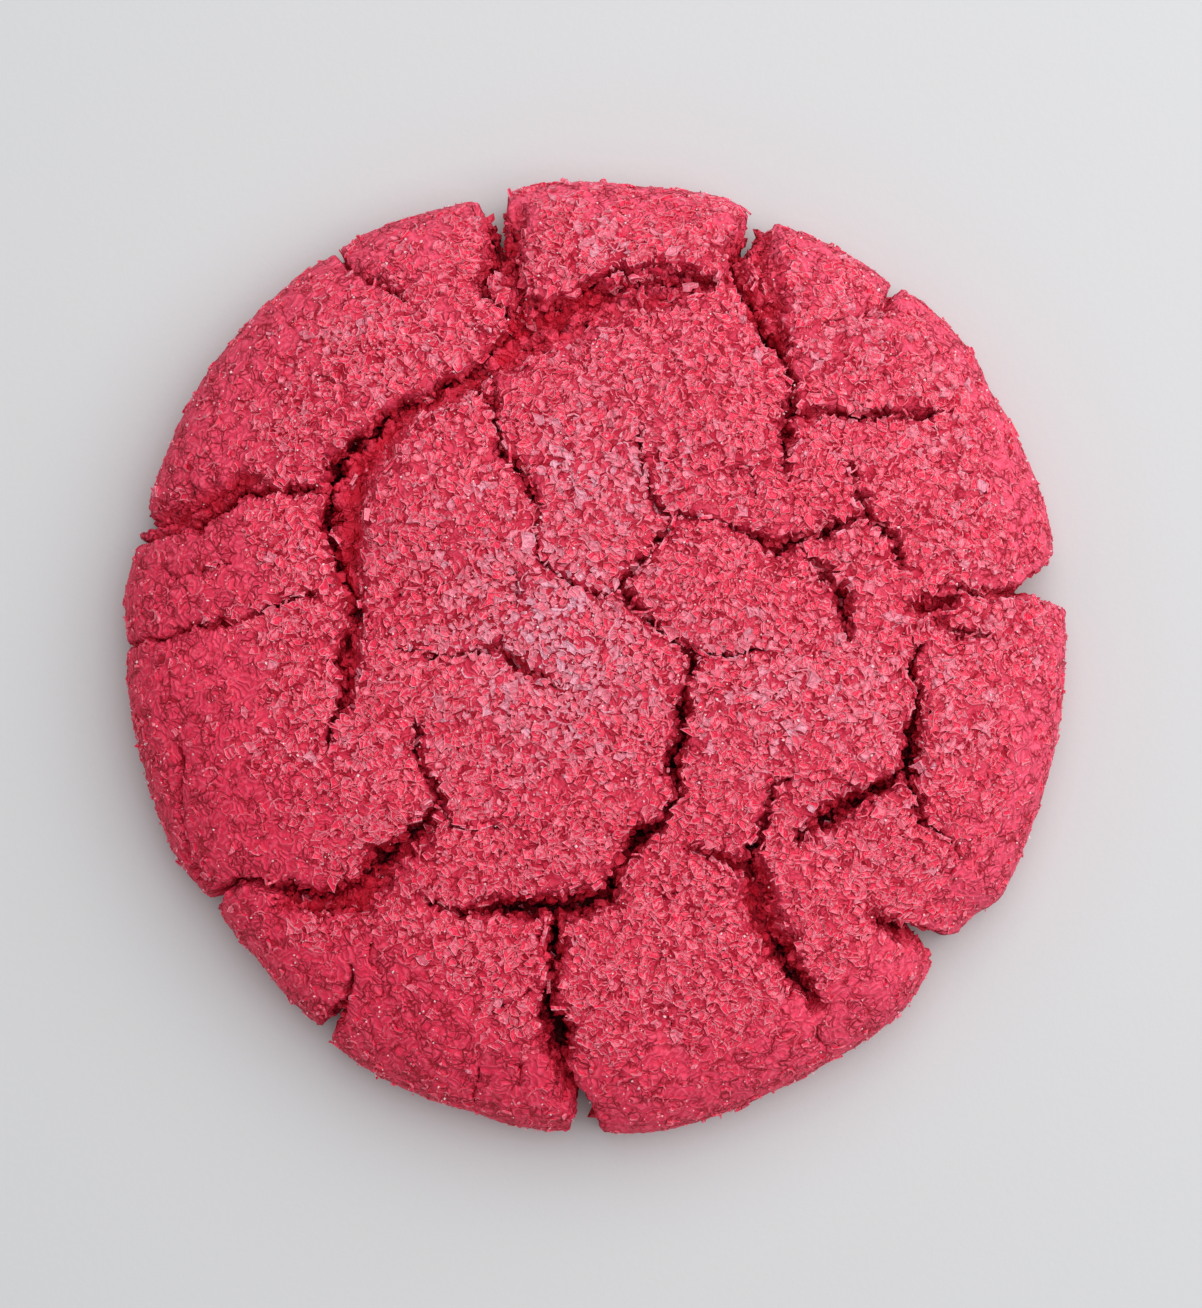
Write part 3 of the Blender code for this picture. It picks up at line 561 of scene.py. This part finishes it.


# Shortbread dough with food colour, rolled in sugar, pressed and baked until it split. The rim is a dull skin
# with fine ribs and wrinkles, the cracks are moist crumb with painted shade that deepens down them, and the
# underside is toasted where it lay on the tray.
def bakedPinkDough():
    look = doughLook
    material, tree, shader, place = newMaterial("bakedPinkDough")
    marks = {mark: addNode(tree, "Attribute", attribute_name=mark).outputs["Fac"]
             for mark in ("crackDepth", "crease", "sugared")}
    warped = strayed(tree, place, look["curlSpan"], look["curlReach"])

    # relief: ribs and pores stand up, and wrinkles that break off here and there are cut in
    gaps = addNode(tree, "TexNoise", {"Vector": place, "Scale": 1 / look["gapSpan"], "Detail": 0.0})
    sockets = [gaps.outputs["Fac"], *look["gapLevels"], look["gapLeast"], 1.0]
    unbroken = addNode(tree, "MapRange", sockets).outputs[0]
    coarse = wrinkles(tree, warped, look["wrinkleCell"], look["wrinkleWidth"])
    fine = wrinkles(tree, warped, look["fineCell"], look["fineWidth"])
    lesser = addNode(tree, "Math", [fine, look["fineShare"]], operation="MULTIPLY")
    both = addNode(tree, "Math", [coarse, lesser.outputs[0]], operation="MAXIMUM")
    lines = addNode(tree, "Math", [both.outputs[0], unbroken], operation="MULTIPLY").outputs[0]
    ribbed = ribs(tree, warped, look["ribPatch"], look["ribPitch"])
    pores = addNode(tree, "TexNoise", {"Vector": place, "Scale": 1 / look["porePitch"], "Detail": 1.0})
    pitted = addNode(tree, "Math", [pores.outputs["Fac"], look["poreDepth"]], operation="MULTIPLY")
    raised = addNode(tree, "Math", [ribbed, look["ribHeight"], pitted.outputs[0]], operation="MULTIPLY_ADD")
    sockets = [lines, -look["wrinkleDepth"], raised.outputs[0]]
    relief = addNode(tree, "Math", sockets, operation="MULTIPLY_ADD")
    bump = addNode(tree, "Bump", {"Height": relief.outputs[0], "Distance": mm, "Strength": 1.0})

    # colour: the skin, paler towards the lit upper right as painted light, then what lies over it in turn
    across = addNode(tree, "VectorMath", [place, (0.7, 0.7, 0.0)], operation="DOT_PRODUCT")
    # painted shade: rib valleys, wrinkle lines and creases between skin patches darken towards the crease
    # colour
    valley = addNode(tree, "MapRange", [ribbed, 0.0, 1.0, look["ribShade"], 0.0])
    sunk = addNode(tree, "Math", [valley.outputs[0], lines], operation="ADD")
    creased = addNode(tree, "Math", [marks["crease"], look["creaseShade"], sunk.outputs[0]],
                      operation="MULTIPLY_ADD", use_clamp=True)
    axes = addNode(tree, "SeparateXYZ", [place])
    ranges = dict(
        towardsLight=[across.outputs["Value"], *look["litSidePlaces"]],
        onCrest=[ribbed, look["crestFrom"], 1.0, 0.0, look["crestMix"]],
        underSugar=[marks["sugared"], *look["soakedShadeCover"]],
        inCrack=[marks["crackDepth"], *look["crumbDepths"]],
        deepDown=[marks["crackDepth"], *look["deepDepths"]],
        nearTray=[axes.outputs["Z"], *look["toastedHeights"], look["toastedMix"], 0.0],
    )
    share = {name: addNode(tree, "MapRange", values).outputs[0] for name, values in ranges.items()}
    colour = layered(tree, hexColour(look["crust"]), [
        (share["towardsLight"], look["crustLitSide"]), (share["onCrest"], look["crestHighlight"]),
        (share["underSugar"], look["soakedShade"]), (creased.outputs[0], look["crease"]),
        (share["inCrack"], look["crumb"]), (share["deepDown"], look["deepCrackShade"]),
        (share["nearTray"], look["toasted"]),
    ])
    tree.links.new(colour, shader.inputs["Base Color"])
    tree.links.new(bump.outputs["Normal"], shader.inputs["Normal"])
    setSockets(shader, {"Roughness": look["roughness"], "IOR": 1.45, "Specular IOR Level": 0.25})
    return material


sugarLook = dict(
    dyed="#EA2A50",  # crystals soaked with the dough's pink
    pale="#E29AAE",  # crystals that stayed clearer
    brim="#F2B3C4",  # painted highlight along the thin upper edge and on the growth ribs
    ribPatch=1.3,
    ribPitch=0.52,  # mm between the growth ribs of a crystal, drawn coarser so that they show
    ribHeight=0.1,
    curlSpan=0.8,
    curlReach=1.1,  # how far the ribs curl
    palest=0.9,  # paleness at which a crystal has the pale colour in full
    brimFrom=0.62,  # share of the way to the upper edge at which the painted highlight starts
    brimMix=0.8,
    ribFrom=0.5,
    ribMix=0.35,
)


# Coarse sugar that the dough was rolled in: crystals soaked pink or still clear, broken smooth, so they
# glint. A painted highlight along the upper edge and on the fine growth ribs gives the eye their thickness.
def pinkSugarCrystal(name, roughness, pale=sugarLook["pale"]):
    look = sugarLook
    material, tree, shader, place = newMaterial(name)
    marks = {mark: addNode(tree, "Attribute", attribute_name=mark).outputs["Fac"]
             for mark in ("pale", "brim")}
    curled = strayed(tree, place, look["curlSpan"], look["curlReach"])
    rib = ribs(tree, curled, look["ribPatch"], look["ribPitch"])
    clear = addNode(tree, "MapRange", [marks["pale"], 0.0, look["palest"]])
    atEdge = addNode(tree, "MapRange", [marks["brim"], look["brimFrom"], 1.0, 0.0, look["brimMix"]])
    onRib = addNode(tree, "MapRange", [rib, look["ribFrom"], 1.0, 0.0, look["ribMix"]])
    lit = addNode(tree, "Math", [atEdge.outputs[0], onRib.outputs[0]], operation="MAXIMUM")
    layers = [(clear.outputs[0], pale), (lit.outputs[0], look["brim"])]
    colour = layered(tree, hexColour(look["dyed"]), layers)
    ribHeight = look["ribHeight"] * mm
    bump = addNode(tree, "Bump", {"Height": rib, "Distance": ribHeight, "Strength": 1.0})
    tree.links.new(colour, shader.inputs["Base Color"])
    tree.links.new(bump.outputs["Normal"], shader.inputs["Normal"])
    setSockets(shader, {"Roughness": roughness, "IOR": 1.54, "Specular IOR Level": 0.33})
    return material


# Where the sugar lies: degrees from +X, and the radius in mm where it thins out towards the rim
sugarEdge = [
    (0, 40.5), (45, 41.5), (90, 42.5), (118, 40.5), (145, 38), (160, 34), (180, 31), (215, 30), (250, 34),
    (280, 37), (320, 38),
]
# Pale drifts of clearer sugar: x, y, spread and strength
sugarDrifts = [
    (-4, -3, 7, 1.0), (17.5, -6, 6, 0.8), (0.5, 16, 5, 0.7), (-6, 5, 6, 0.5), (1, 38, 7, 0.4),
    (-27, 28, 7, 0.4), (28, 28, 7, 0.5), (33, -6, 5, 0.4), (41, 8, 8, 0.3),
]
# Sugar that fell into a crack: x, y and spread
fallenSugar = [(-7.6, 30.6, 1.2), (8.0, -17.3, 1.8), (-25.0, -24.5, 1.6), (-18.5, -16.5, 1.2)]
sugarSpread = dict(
    edgeStray=2.0,  # mm that the sugar's edge strays, and over what length
    edgeSpan=3.0,
    thinning=(3.0, -4.0),  # mm past the edge between which the cover thins out
    crackLoss=0.93,  # share of the cover missing in a crack, between these depths of it
    crackDepths=(0.8, 2.2),
    fallen=0.6,
    unevenSpan=2.2,
    driftPale=0.6,  # paleness that a drift adds, up to this strength of drift
    driftMost=1.1,
    dyed=0.17,  # paleness that the dye takes, and the further paleness taken off below the middle
    lessPaleBelow=0.12,
    paleSpan=2.5,
    palePatch=0.18,
    paleSpread=0.27,  # from grain to grain
    seedStray=2.1,  # how far a seed strays round the crust: radians x root of the number of seeds
    leastScale=0.6,  # limits of a grain's common scale
    mostScale=1.7,
)


# A bell round a place: exp(-distance squared / (2 spread squared)), which is 1 in its middle
def bell(x, y, middleX, middleY, spread):
    return np.exp(-((x - middleX) ** 2 + (y - middleY) ** 2) / (2 * spread * spread))


# Share of the dough under sugar: full inside the edge, least at the rim, almost none in a crack, times a
# noise from 0.55 to 1.15, or a bell-shaped heap of fallen sugar where that is more.
def sugarCover(x, y, marks, least):
    s = sugarSpread
    knots = np.array(sugarEdge, float)
    edge = np.interp(np.degrees(np.arctan2(y, x)) % 360, knots[:, 0], knots[:, 1], period=360)
    past = np.hypot(x, y) - edge + s["edgeStray"] * latticeNoise(x, y, s["edgeSpan"], 41)
    cover = least + (1 - least) * smoothStep(*s["thinning"], past)
    offCrack = 1 - s["crackLoss"] * smoothStep(*s["crackDepths"], marks["depth"])
    heaps = sum(bell(x, y, *heap) for heap in fallenSugar)
    patchy = 0.85 + 0.3 * latticeNoise(x, y, s["unevenSpan"], 42)
    return np.maximum(cover * offCrack * patchy, s["fallen"] * heaps)


# From 0 for dyed crystals to 1 for clear ones: bell-shaped drifts, less the dye and less again below the
# middle, plus a noise
def sugarPaleness(x, y):
    s = sugarSpread
    drift = sum(strength * bell(x, y, *drift) for *drift, strength in sugarDrifts)
    # the dye's paleness, and less paleness towards the bottom
    dyed = s["dyed"] + s["lessPaleBelow"] * smoothStep(5.0, -20.0, y)
    patches = s["palePatch"] * latticeNoise(x, y, s["paleSpan"], 43)
    return s["driftPale"] * np.minimum(drift, s["driftMost"]) - dyed + patches


# The dough: a disc-bent grid over the top and rim, closed underneath by rings round the flat base
cells = biscuit["cells"]
side = np.linspace(-1.0, 1.0, cells + 1)
gridU, gridV = np.meshgrid(side, side, indexing="ij")
bare, split = splitDome(*discFromSquare(gridU.ravel(), gridV.ravel()))
doughLow, doughHigh = bare.min(0), bare.max(0)
height, crease = reliefHeight(bare, split)
topPoints = bare + gridNormals(bare, cells) * height[:, None]
index = np.arange((cells + 1) ** 2).reshape(cells + 1, cells + 1)
border = np.concatenate([index[:-1, 0], index[-1, :-1], index[:0:-1, -1], index[0, :0:-1]])
topPoints[:, 2] = np.maximum(topPoints[:, 2], 0.0)
topPoints[border, 2] = 0.0
topPoints = fitToFrame(topPoints, doughLow, doughHigh)
rings = [topPoints[border] * (drawn, drawn, 1) for drawn in biscuit["baseRings"]]
points = np.concatenate([topPoints, *rings, np.zeros((1, 3))])
around = len(border)
ringStarts = len(topPoints) + around * np.arange(len(rings))
loops = [border] + [start + np.arange(around) for start in ringStarts]
quads = [np.stack([index[:-1, :-1], index[1:, :-1], index[1:, 1:], index[:-1, 1:]], axis=-1).reshape(-1, 4)]
for outer, inner in zip(loops[:-1], loops[1:]):
    quads.append(np.stack([inner, np.roll(inner, -1), np.roll(outer, -1), outer], axis=-1))
last = loops[-1]
fan = np.stack([np.full(around, len(points) - 1), np.roll(last, -1), last], axis=-1)
padding = np.zeros(len(points) - len(topPoints))
# the sugar cover, which sets the soaked colour and painted shade of the dough under it
sugared = sugarCover(bare[:, 0], bare[:, 1], split, 0.0)
doughMarks = {"crackDepth": split["depth"], "crease": crease, "sugared": sugared}
doughMarks = {key: np.concatenate([values, padding]) for key, values in doughMarks.items()}
dough = makeMesh("bakedDough", points, [*quads, fan], bakedPinkDough(), True, doughMarks)
triangles = sum(len(block) * (block.shape[1] - 2) for block in [*quads, fan])
thin = dough.modifiers.new("thin", "DECIMATE")
thin.ratio = min(biscuit["mostTriangles"] / triangles, 1.0)
print("dough:", len(points), "points,", triangles, "triangles before thinning")


# A sunflower spiral over the crust: each seed has the same area and lies a golden angle round from the one
# before, jogged by a random share of its own room.
def evenSeeds(count, lowest, draw):
    shares = np.linspace(0, lowest, 400)
    out, up = domeProfile(shares, biscuit["meanRadius"])
    band = np.hypot(np.diff(out), np.diff(up)) * (out[1:] + out[:-1]) / 2
    area = np.concatenate([[0], np.cumsum(band)])
    wanted = (np.arange(count) + draw.random(count)) / count * area[-1]
    stray = draw.normal(0, sugarSpread["seedStray"] / math.sqrt(count), count)
    turns = np.arange(count) * math.pi * (3 - math.sqrt(5)) + stray
    return np.interp(wanted, area, shares), np.mod(turns, 2 * math.pi)


def crustFrames(share, angle):  # points on the crust with outward normals, from small steps either way
    step = 0.004
    n = len(share)
    shares = np.concatenate([share, share + step, share])
    angles = np.concatenate([angle, angle, angle + step / np.maximum(share, 0.05)])
    places, marks = splitDome(shares, angles)
    normal = np.cross(places[n:2 * n] - places[:n], places[2 * n:] - places[:n])
    normal /= np.linalg.norm(normal, axis=1)[:, None] + 1e-12
    marks = {key: values[:n] for key, values in marks.items()}
    places = places[:n] + normal * reliefHeight(places[:n], marks)[0][:, None]
    return fitToFrame(places, doughLow, doughHigh), normal, marks


# Every copy of a shape: place + x ahead + y aside + z up, with up near the normal, the corners stretched by
# the copy's own sizes and made uneven by the jitter.
def copiesOf(shape, places, normals, sizes, tilt, draw, jitter):
    count = len(places)
    up = normals + tilt * draw.normal(size=(count, 3))
    up /= np.linalg.norm(up, axis=1)[:, None]
    ahead = np.cross(up, draw.normal(size=(count, 3)))
    ahead /= np.linalg.norm(ahead, axis=1)[:, None]
    aside = np.cross(up, ahead)
    uneven = 1 + (jitter * draw.normal(size=(count, shape["column"].max() + 1))).clip(-0.45, 0.45)
    corners = shape["points"][None] * uneven[:, shape["column"], None] * sizes[:, None, :]
    moved = places[:, None, :] + corners[:, :, :1] * ahead[:, None]
    moved = moved + corners[:, :, 1:2] * aside[:, None] + corners[:, :, 2:] * up[:, None]
    first = (np.arange(count) * len(shape["points"]))[:, None, None]
    faces = [(block[None] + first).reshape(-1, block.shape[1]) for block in shape["faces"]]
    return moved.reshape(-1, 3), faces


# A closed shape through sections with as many corners each: a face from every side to the next section's, and
# one over both ends. Corners with the same column are uneven together.
def lofted(sections, column, brim):
    levels, corners = sections.shape[:2]
    a = np.arange(corners)
    b = (a + 1) % corners
    side = np.stack([a, b, b + corners, a + corners], axis=-1)
    sides = [side + corners * level for level in range(levels - 1)]
    ends = np.stack([a[::-1], a + corners * (levels - 1)])
    return dict(points=sections.reshape(-1, 3), faces=[np.concatenate(sides), ends], column=column, brim=brim)


# Stacked rings of corners on a circle, each its reach and height. The bay draws in every other corner.
def ringShape(rings, corners, bay=1.0):
    turn = np.arange(corners) * 2 * math.pi / corners
    circle = np.c_[np.cos(turn), np.sin(turn)] * 0.5 * np.where(np.arange(corners) % 2, bay, 1.0)[:, None]
    sections = np.stack([np.c_[circle * reach, np.full(corners, high)] for reach, high in rings])
    # the second ring, the upper edge, takes the painted highlight
    brim = np.repeat(np.arange(len(rings)) == 1, corners) * 1.0
    return lofted(sections, np.tile(np.arange(corners), len(rings)), brim)


# A thin bar with a narrower top: a four-sided section carried along a bow of places along and aside
def bowedSliver(bow):
    section = np.array([(-0.5, -0.5), (0.5, -0.5), (0.35, 0.5), (-0.35, 0.5)])
    sections = np.stack([np.c_[np.full(4, x), section[:, 0] + aside, section[:, 1]] for x, aside in bow])
    return lofted(sections, np.repeat(np.arange(len(bow)), 4), np.tile([0.0, 0.0, 1.0, 1.0], len(bow)))


def octahedron():  # six corners half a unit out along the axes, and eight faces
    points = 0.5 * np.array([(1, 0, 0), (0, 1, 0), (-1, 0, 0), (0, -1, 0), (0, 0, 1), (0, 0, -1)], float)
    faces = [(a, (a + 1) % 4, 4) for a in range(4)] + [((a + 1) % 4, a, 5) for a in range(4)]
    return dict(points=points, faces=[np.array(faces)], column=np.arange(6), brim=np.ones(6))


# Grains of one kind over the crust: at each seed the cover decides whether one lies there. Its size is drawn
# between the listed ones, times exp(normal) for the whole grain.
def strewSugar(name, spec, shape, material):
    draw = np.random.default_rng(spec["seed"])
    places, normals, marks = crustFrames(*evenSeeds(spec["seeds"], spec["lowest"], draw))
    cover = spec["cover"] * sugarCover(places[:, 0], places[:, 1], marks, spec["least"])
    keep = draw.random(len(places)) < cover
    places, normals = places[keep][:spec["most"]], normals[keep][:spec["most"]]
    count = len(places)
    scale = np.exp(draw.normal(0, spec["spread"], count))
    scale = scale.clip(sugarSpread["leastScale"], sugarSpread["mostScale"])
    low, high = np.array(spec["sizes"]).T
    sizes = scale[:, None] * draw.uniform(low, high, (count, 3))
    places = places + normals * (spec["stand"] * sizes[:, 2])[:, None]
    pale = spec["pale"] + sugarPaleness(places[:, 0], places[:, 1])
    pale += draw.normal(0, sugarSpread["paleSpread"], count)
    points, faces = copiesOf(shape, places, normals, sizes, spec["tilt"], draw, spec["uneven"])
    points[:, 2] = np.maximum(points[:, 2], biscuit["clearance"])
    # strength of the painted highlight along each grain's upper edge
    brim = np.tile(spec["brim"] * shape["brim"], count)
    marks = {"pale": np.repeat(pale, len(shape["points"])), "brim": brim}
    piece = makeMesh(name, points, faces, material, False, marks)
    triangles = sum(len(block) * (block.shape[1] - 2) for block in faces)
    print(name + ":", count, "grains,", triangles, "triangles")
    return piece


# Flat crystals: a jagged flake with a raised brim, lying bedded in the dough
flakeSugar = dict(seed=11, seeds=8400, most=4300, lowest=0.8, cover=0.97, least=0.01, spread=0.12, stand=0.25,
                  tilt=0.09, uneven=0.25, brim=1.0, pale=-0.05, sizes=[(1.0, 1.7), (0.75, 1.2), (0.24, 0.36)])
flakeShape = ringShape([(1.0, -0.5), (0.93, 0.5), (0.62, 0.22)], 8, 0.66)
flakes = strewSugar("sugarFlakes", flakeSugar, flakeShape, pinkSugarCrystal("pinkSugarFlake", 0.22))

# Chips: smaller flakes, three-pointed
chipSugar = dict(seed=15, seeds=9600, most=4600, lowest=0.84, cover=0.97, least=0.02, spread=0.22, stand=0.3,
                 tilt=0.25, uneven=0.25, brim=1.0, pale=0.0, sizes=[(0.5, 0.95), (0.35, 0.65), (0.2, 0.32)])
chipShape = ringShape([(1.05, -0.5), (0.95, 0.5), (0.6, 0.22)], 6, 0.66)
chips = strewSugar("sugarChips", chipSugar, chipShape, pinkSugarCrystal("pinkSugarChip", 0.22))

# Splinters: thin bowed slivers of broken crystals
splinterSugar = dict(seed=12, seeds=12000, most=8200, lowest=0.89, cover=0.8, least=0.3, spread=0.22,
                     stand=0.3, tilt=0.1, uneven=0.2, brim=0.68, pale=-0.1,
                     sizes=[(0.7, 1.35), (0.13, 0.2), (0.12, 0.18)])
splinterShape = bowedSliver([(-0.5, -1.1), (-0.2, 0.5), (0.2, 0.5), (0.5, -1.1)])
splinterFinish = pinkSugarCrystal("pinkSugarSplinter", 0.3)
splinters = strewSugar("sugarSplinters", splinterSugar, splinterShape, splinterFinish)

# Grit: small broken crystals between the flakes
gritSugar = dict(seed=14, seeds=6000, most=3700, lowest=0.87, cover=0.9, least=0.1, spread=0.28, stand=0.35,
                 tilt=0.6, uneven=0.28, brim=0.8, pale=0.0, sizes=[(0.3, 0.6), (0.22, 0.42), (0.18, 0.32)])
gritShape = ringShape([(1.0, -0.5), (0.7, 0.5)], 5)
grit = strewSugar("sugarGrit", gritSugar, gritShape, pinkSugarCrystal("pinkSugarGrit", 0.25))

# Dust: the finest clear grains, near white, which show as white specks and also stand in for glints as
# painted highlights
dustSugar = dict(seed=13, seeds=5200, most=4200, lowest=0.91, cover=0.9, least=0.5, spread=0.3, stand=0.8,
                 tilt=0.6, uneven=0.2, brim=0.5, pale=0.9, sizes=[(0.12, 0.22), (0.12, 0.22), (0.12, 0.22)])
dust = strewSugar("sugarDust", dustSugar, octahedron(), pinkSugarCrystal("whiteSugarDustAndGlint", 0.2, "#FFD8E0"))


# Crumbs broken from the dough along the cracks
looseCrumb = dict(seed=21, count=5600, size=0.95, least=0.3, most=1.5, spread=0.35, sides=(0.7, 1.2),
                  flatness=0.55, tilt=0.8, uneven=0.3, lowest=0.8,
                  crackDepths=(0.5, 2.0),  # between which crumbs come to lie
                  shade=0.75)  # a crumb's crack colour and painted shade are those of this share of the depth where it lies


def strewCrumbs(name, spec, material):  # over the crack walls and floors, evenly by their true area
    draw = np.random.default_rng(spec["seed"])
    corners = topPoints[quads[0]]
    normals = np.cross(corners[:, 2] - corners[:, 0], corners[:, 3] - corners[:, 1])
    area = 0.5 * np.linalg.norm(normals, axis=1)
    normals /= 2 * area[:, None] + 1e-12
    depth = split["depth"][quads[0]].mean(axis=1)
    weight = area * smoothStep(*spec["crackDepths"], depth) * (corners[:, :, 2].mean(axis=1) > spec["lowest"])
    chosen = draw.choice(len(weight), spec["count"], p=weight / weight.sum())
    places = corners[chosen].mean(axis=1)
    size = spec["size"] * np.exp(draw.normal(0.0, spec["spread"], spec["count"]))
    size = size.clip(spec["least"], spec["most"])
    sizes = size[:, None] * draw.uniform(*spec["sides"], (spec["count"], 3))
    sizes[:, 2] *= spec["flatness"]
    shape = ringShape([(0.5, -0.5), (1.0, 0.1), (0.5, 0.5)], 6, 0.6)
    points, faces = copiesOf(shape, places, normals[chosen], sizes, spec["tilt"], draw, spec["uneven"])
    points[:, 2] = np.maximum(points[:, 2], biscuit["clearance"])
    shown = np.repeat(spec["shade"] * depth[chosen], len(shape["points"]))
    piece = makeMesh(name, points, faces, material, False, {"crackDepth": shown})
    print(name + ":", spec["count"], "crumbs")
    return piece


crumbs = strewCrumbs("crackCrumbs", looseCrumb, dough.data.materials[0])

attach(dough, "root")
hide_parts("polvoron")
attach(crumbs, "root")
for piece in (flakes, chips, splinters, grit, dust):
    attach(piece, "root")


# The plain pale floor: its half width in m, and the grain of its paint in mm
ground = dict(half=0.9, under=0.02, colour="#CDCECF", roughness=0.8, grainSpan=2 / 3, grainHeight=0.04)


def paintedFloor():  # rolled matt paint, which leaves a faint even grain and no gloss
    corners = np.array([(-1, -1), (1, -1), (1, 1), (-1, 1)]) * ground["half"] / mm
    material, tree, shader, place = newMaterial("rolledMattPaint")
    grain = addNode(tree, "TexNoise", {"Vector": place, "Scale": 1 / ground["grainSpan"], "Detail": 4.0})
    sockets = {"Height": grain.outputs["Fac"], "Distance": ground["grainHeight"] * mm, "Strength": 0.5}
    bump = addNode(tree, "Bump", sockets)
    tree.links.new(bump.outputs["Normal"], shader.inputs["Normal"])
    setSockets(shader, {"Base Color": hexColour(ground["colour"]), "Roughness": ground["roughness"]})
    sheet = np.c_[corners, np.full(4, -ground["under"])]
    floor = makeMesh("paleFloor", sheet, [np.array([(0, 1, 2, 3)])], material, False)


paintedFloor()

# Light: one big soft window from the upper right, and a pale room all round
studio = dict(
    keyPlace=(0.19, 0.135, 0.385),
    keySize=0.8,
    keyPower=2.87,
    roomColour="#E6E6E8",
    roomStrength=0.56,
)


def addLights():  # the lamp looks at the origin
    lamp = bpy.data.lights.new("windowLight", "AREA")
    lamp.shape = "DISK"
    lamp.size = studio["keySize"]
    lamp.energy = studio["keyPower"]
    light = bpy.data.objects.new("windowLight", lamp)
    light.location = studio["keyPlace"]
    light.visible_camera = False
    light.rotation_mode = "QUATERNION"
    light.rotation_quaternion = (-Vector(studio["keyPlace"])).to_track_quat("-Z", "Y")
    bpy.context.scene.collection.objects.link(light)
    world = bpy.data.worlds.new("paleRoom")
    bpy.context.scene.world = world
    world.use_nodes = True
    background = world.node_tree.nodes["Background"]
    background.inputs["Color"].default_value = hexColour(studio["roomColour"])
    background.inputs["Strength"].default_value = studio["roomStrength"]


addLights()

# The camera stands nearly straight above, and a millimetre at its target is 10.72 pixels of the photograph
view = dict(
    elevation=86.0,
    distance=395.5,
    target=(0.56, 0.04, 4.5),
    pixelsPerMm=10.72,
    photoHeight=1308,
    sensor=36.0,
)


# The lens in mm: sensor x distance x pixels for each mm / the picture's height in pixels
def addCamera():
    tilt = math.radians(view["elevation"])
    back = Vector((0, -math.cos(tilt), math.sin(tilt)))
    data = bpy.data.cameras.new("camera")
    data.sensor_width = view["sensor"]
    data.lens = view["sensor"] * view["distance"] * view["pixelsPerMm"] / view["photoHeight"]
    data.clip_start, data.clip_end = 0.01, 10.0
    camera = bpy.data.objects.new("camera", data)
    camera.location = (Vector(view["target"]) + back * view["distance"]) * mm
    camera.rotation_mode = "QUATERNION"
    camera.rotation_quaternion = (-back).to_track_quat("-Z", "Y")
    bpy.context.scene.collection.objects.link(camera)
    bpy.context.scene.camera = camera


addCamera()
scene = bpy.context.scene
scene.view_settings.view_transform = "Standard"
scene.cycles.diffuse_bounces = 4  # the light passes from grain to grain a few times
scene.cycles.glossy_bounces = 1
scene.cycles.caustics_reflective = False
print("camera and light are in place")
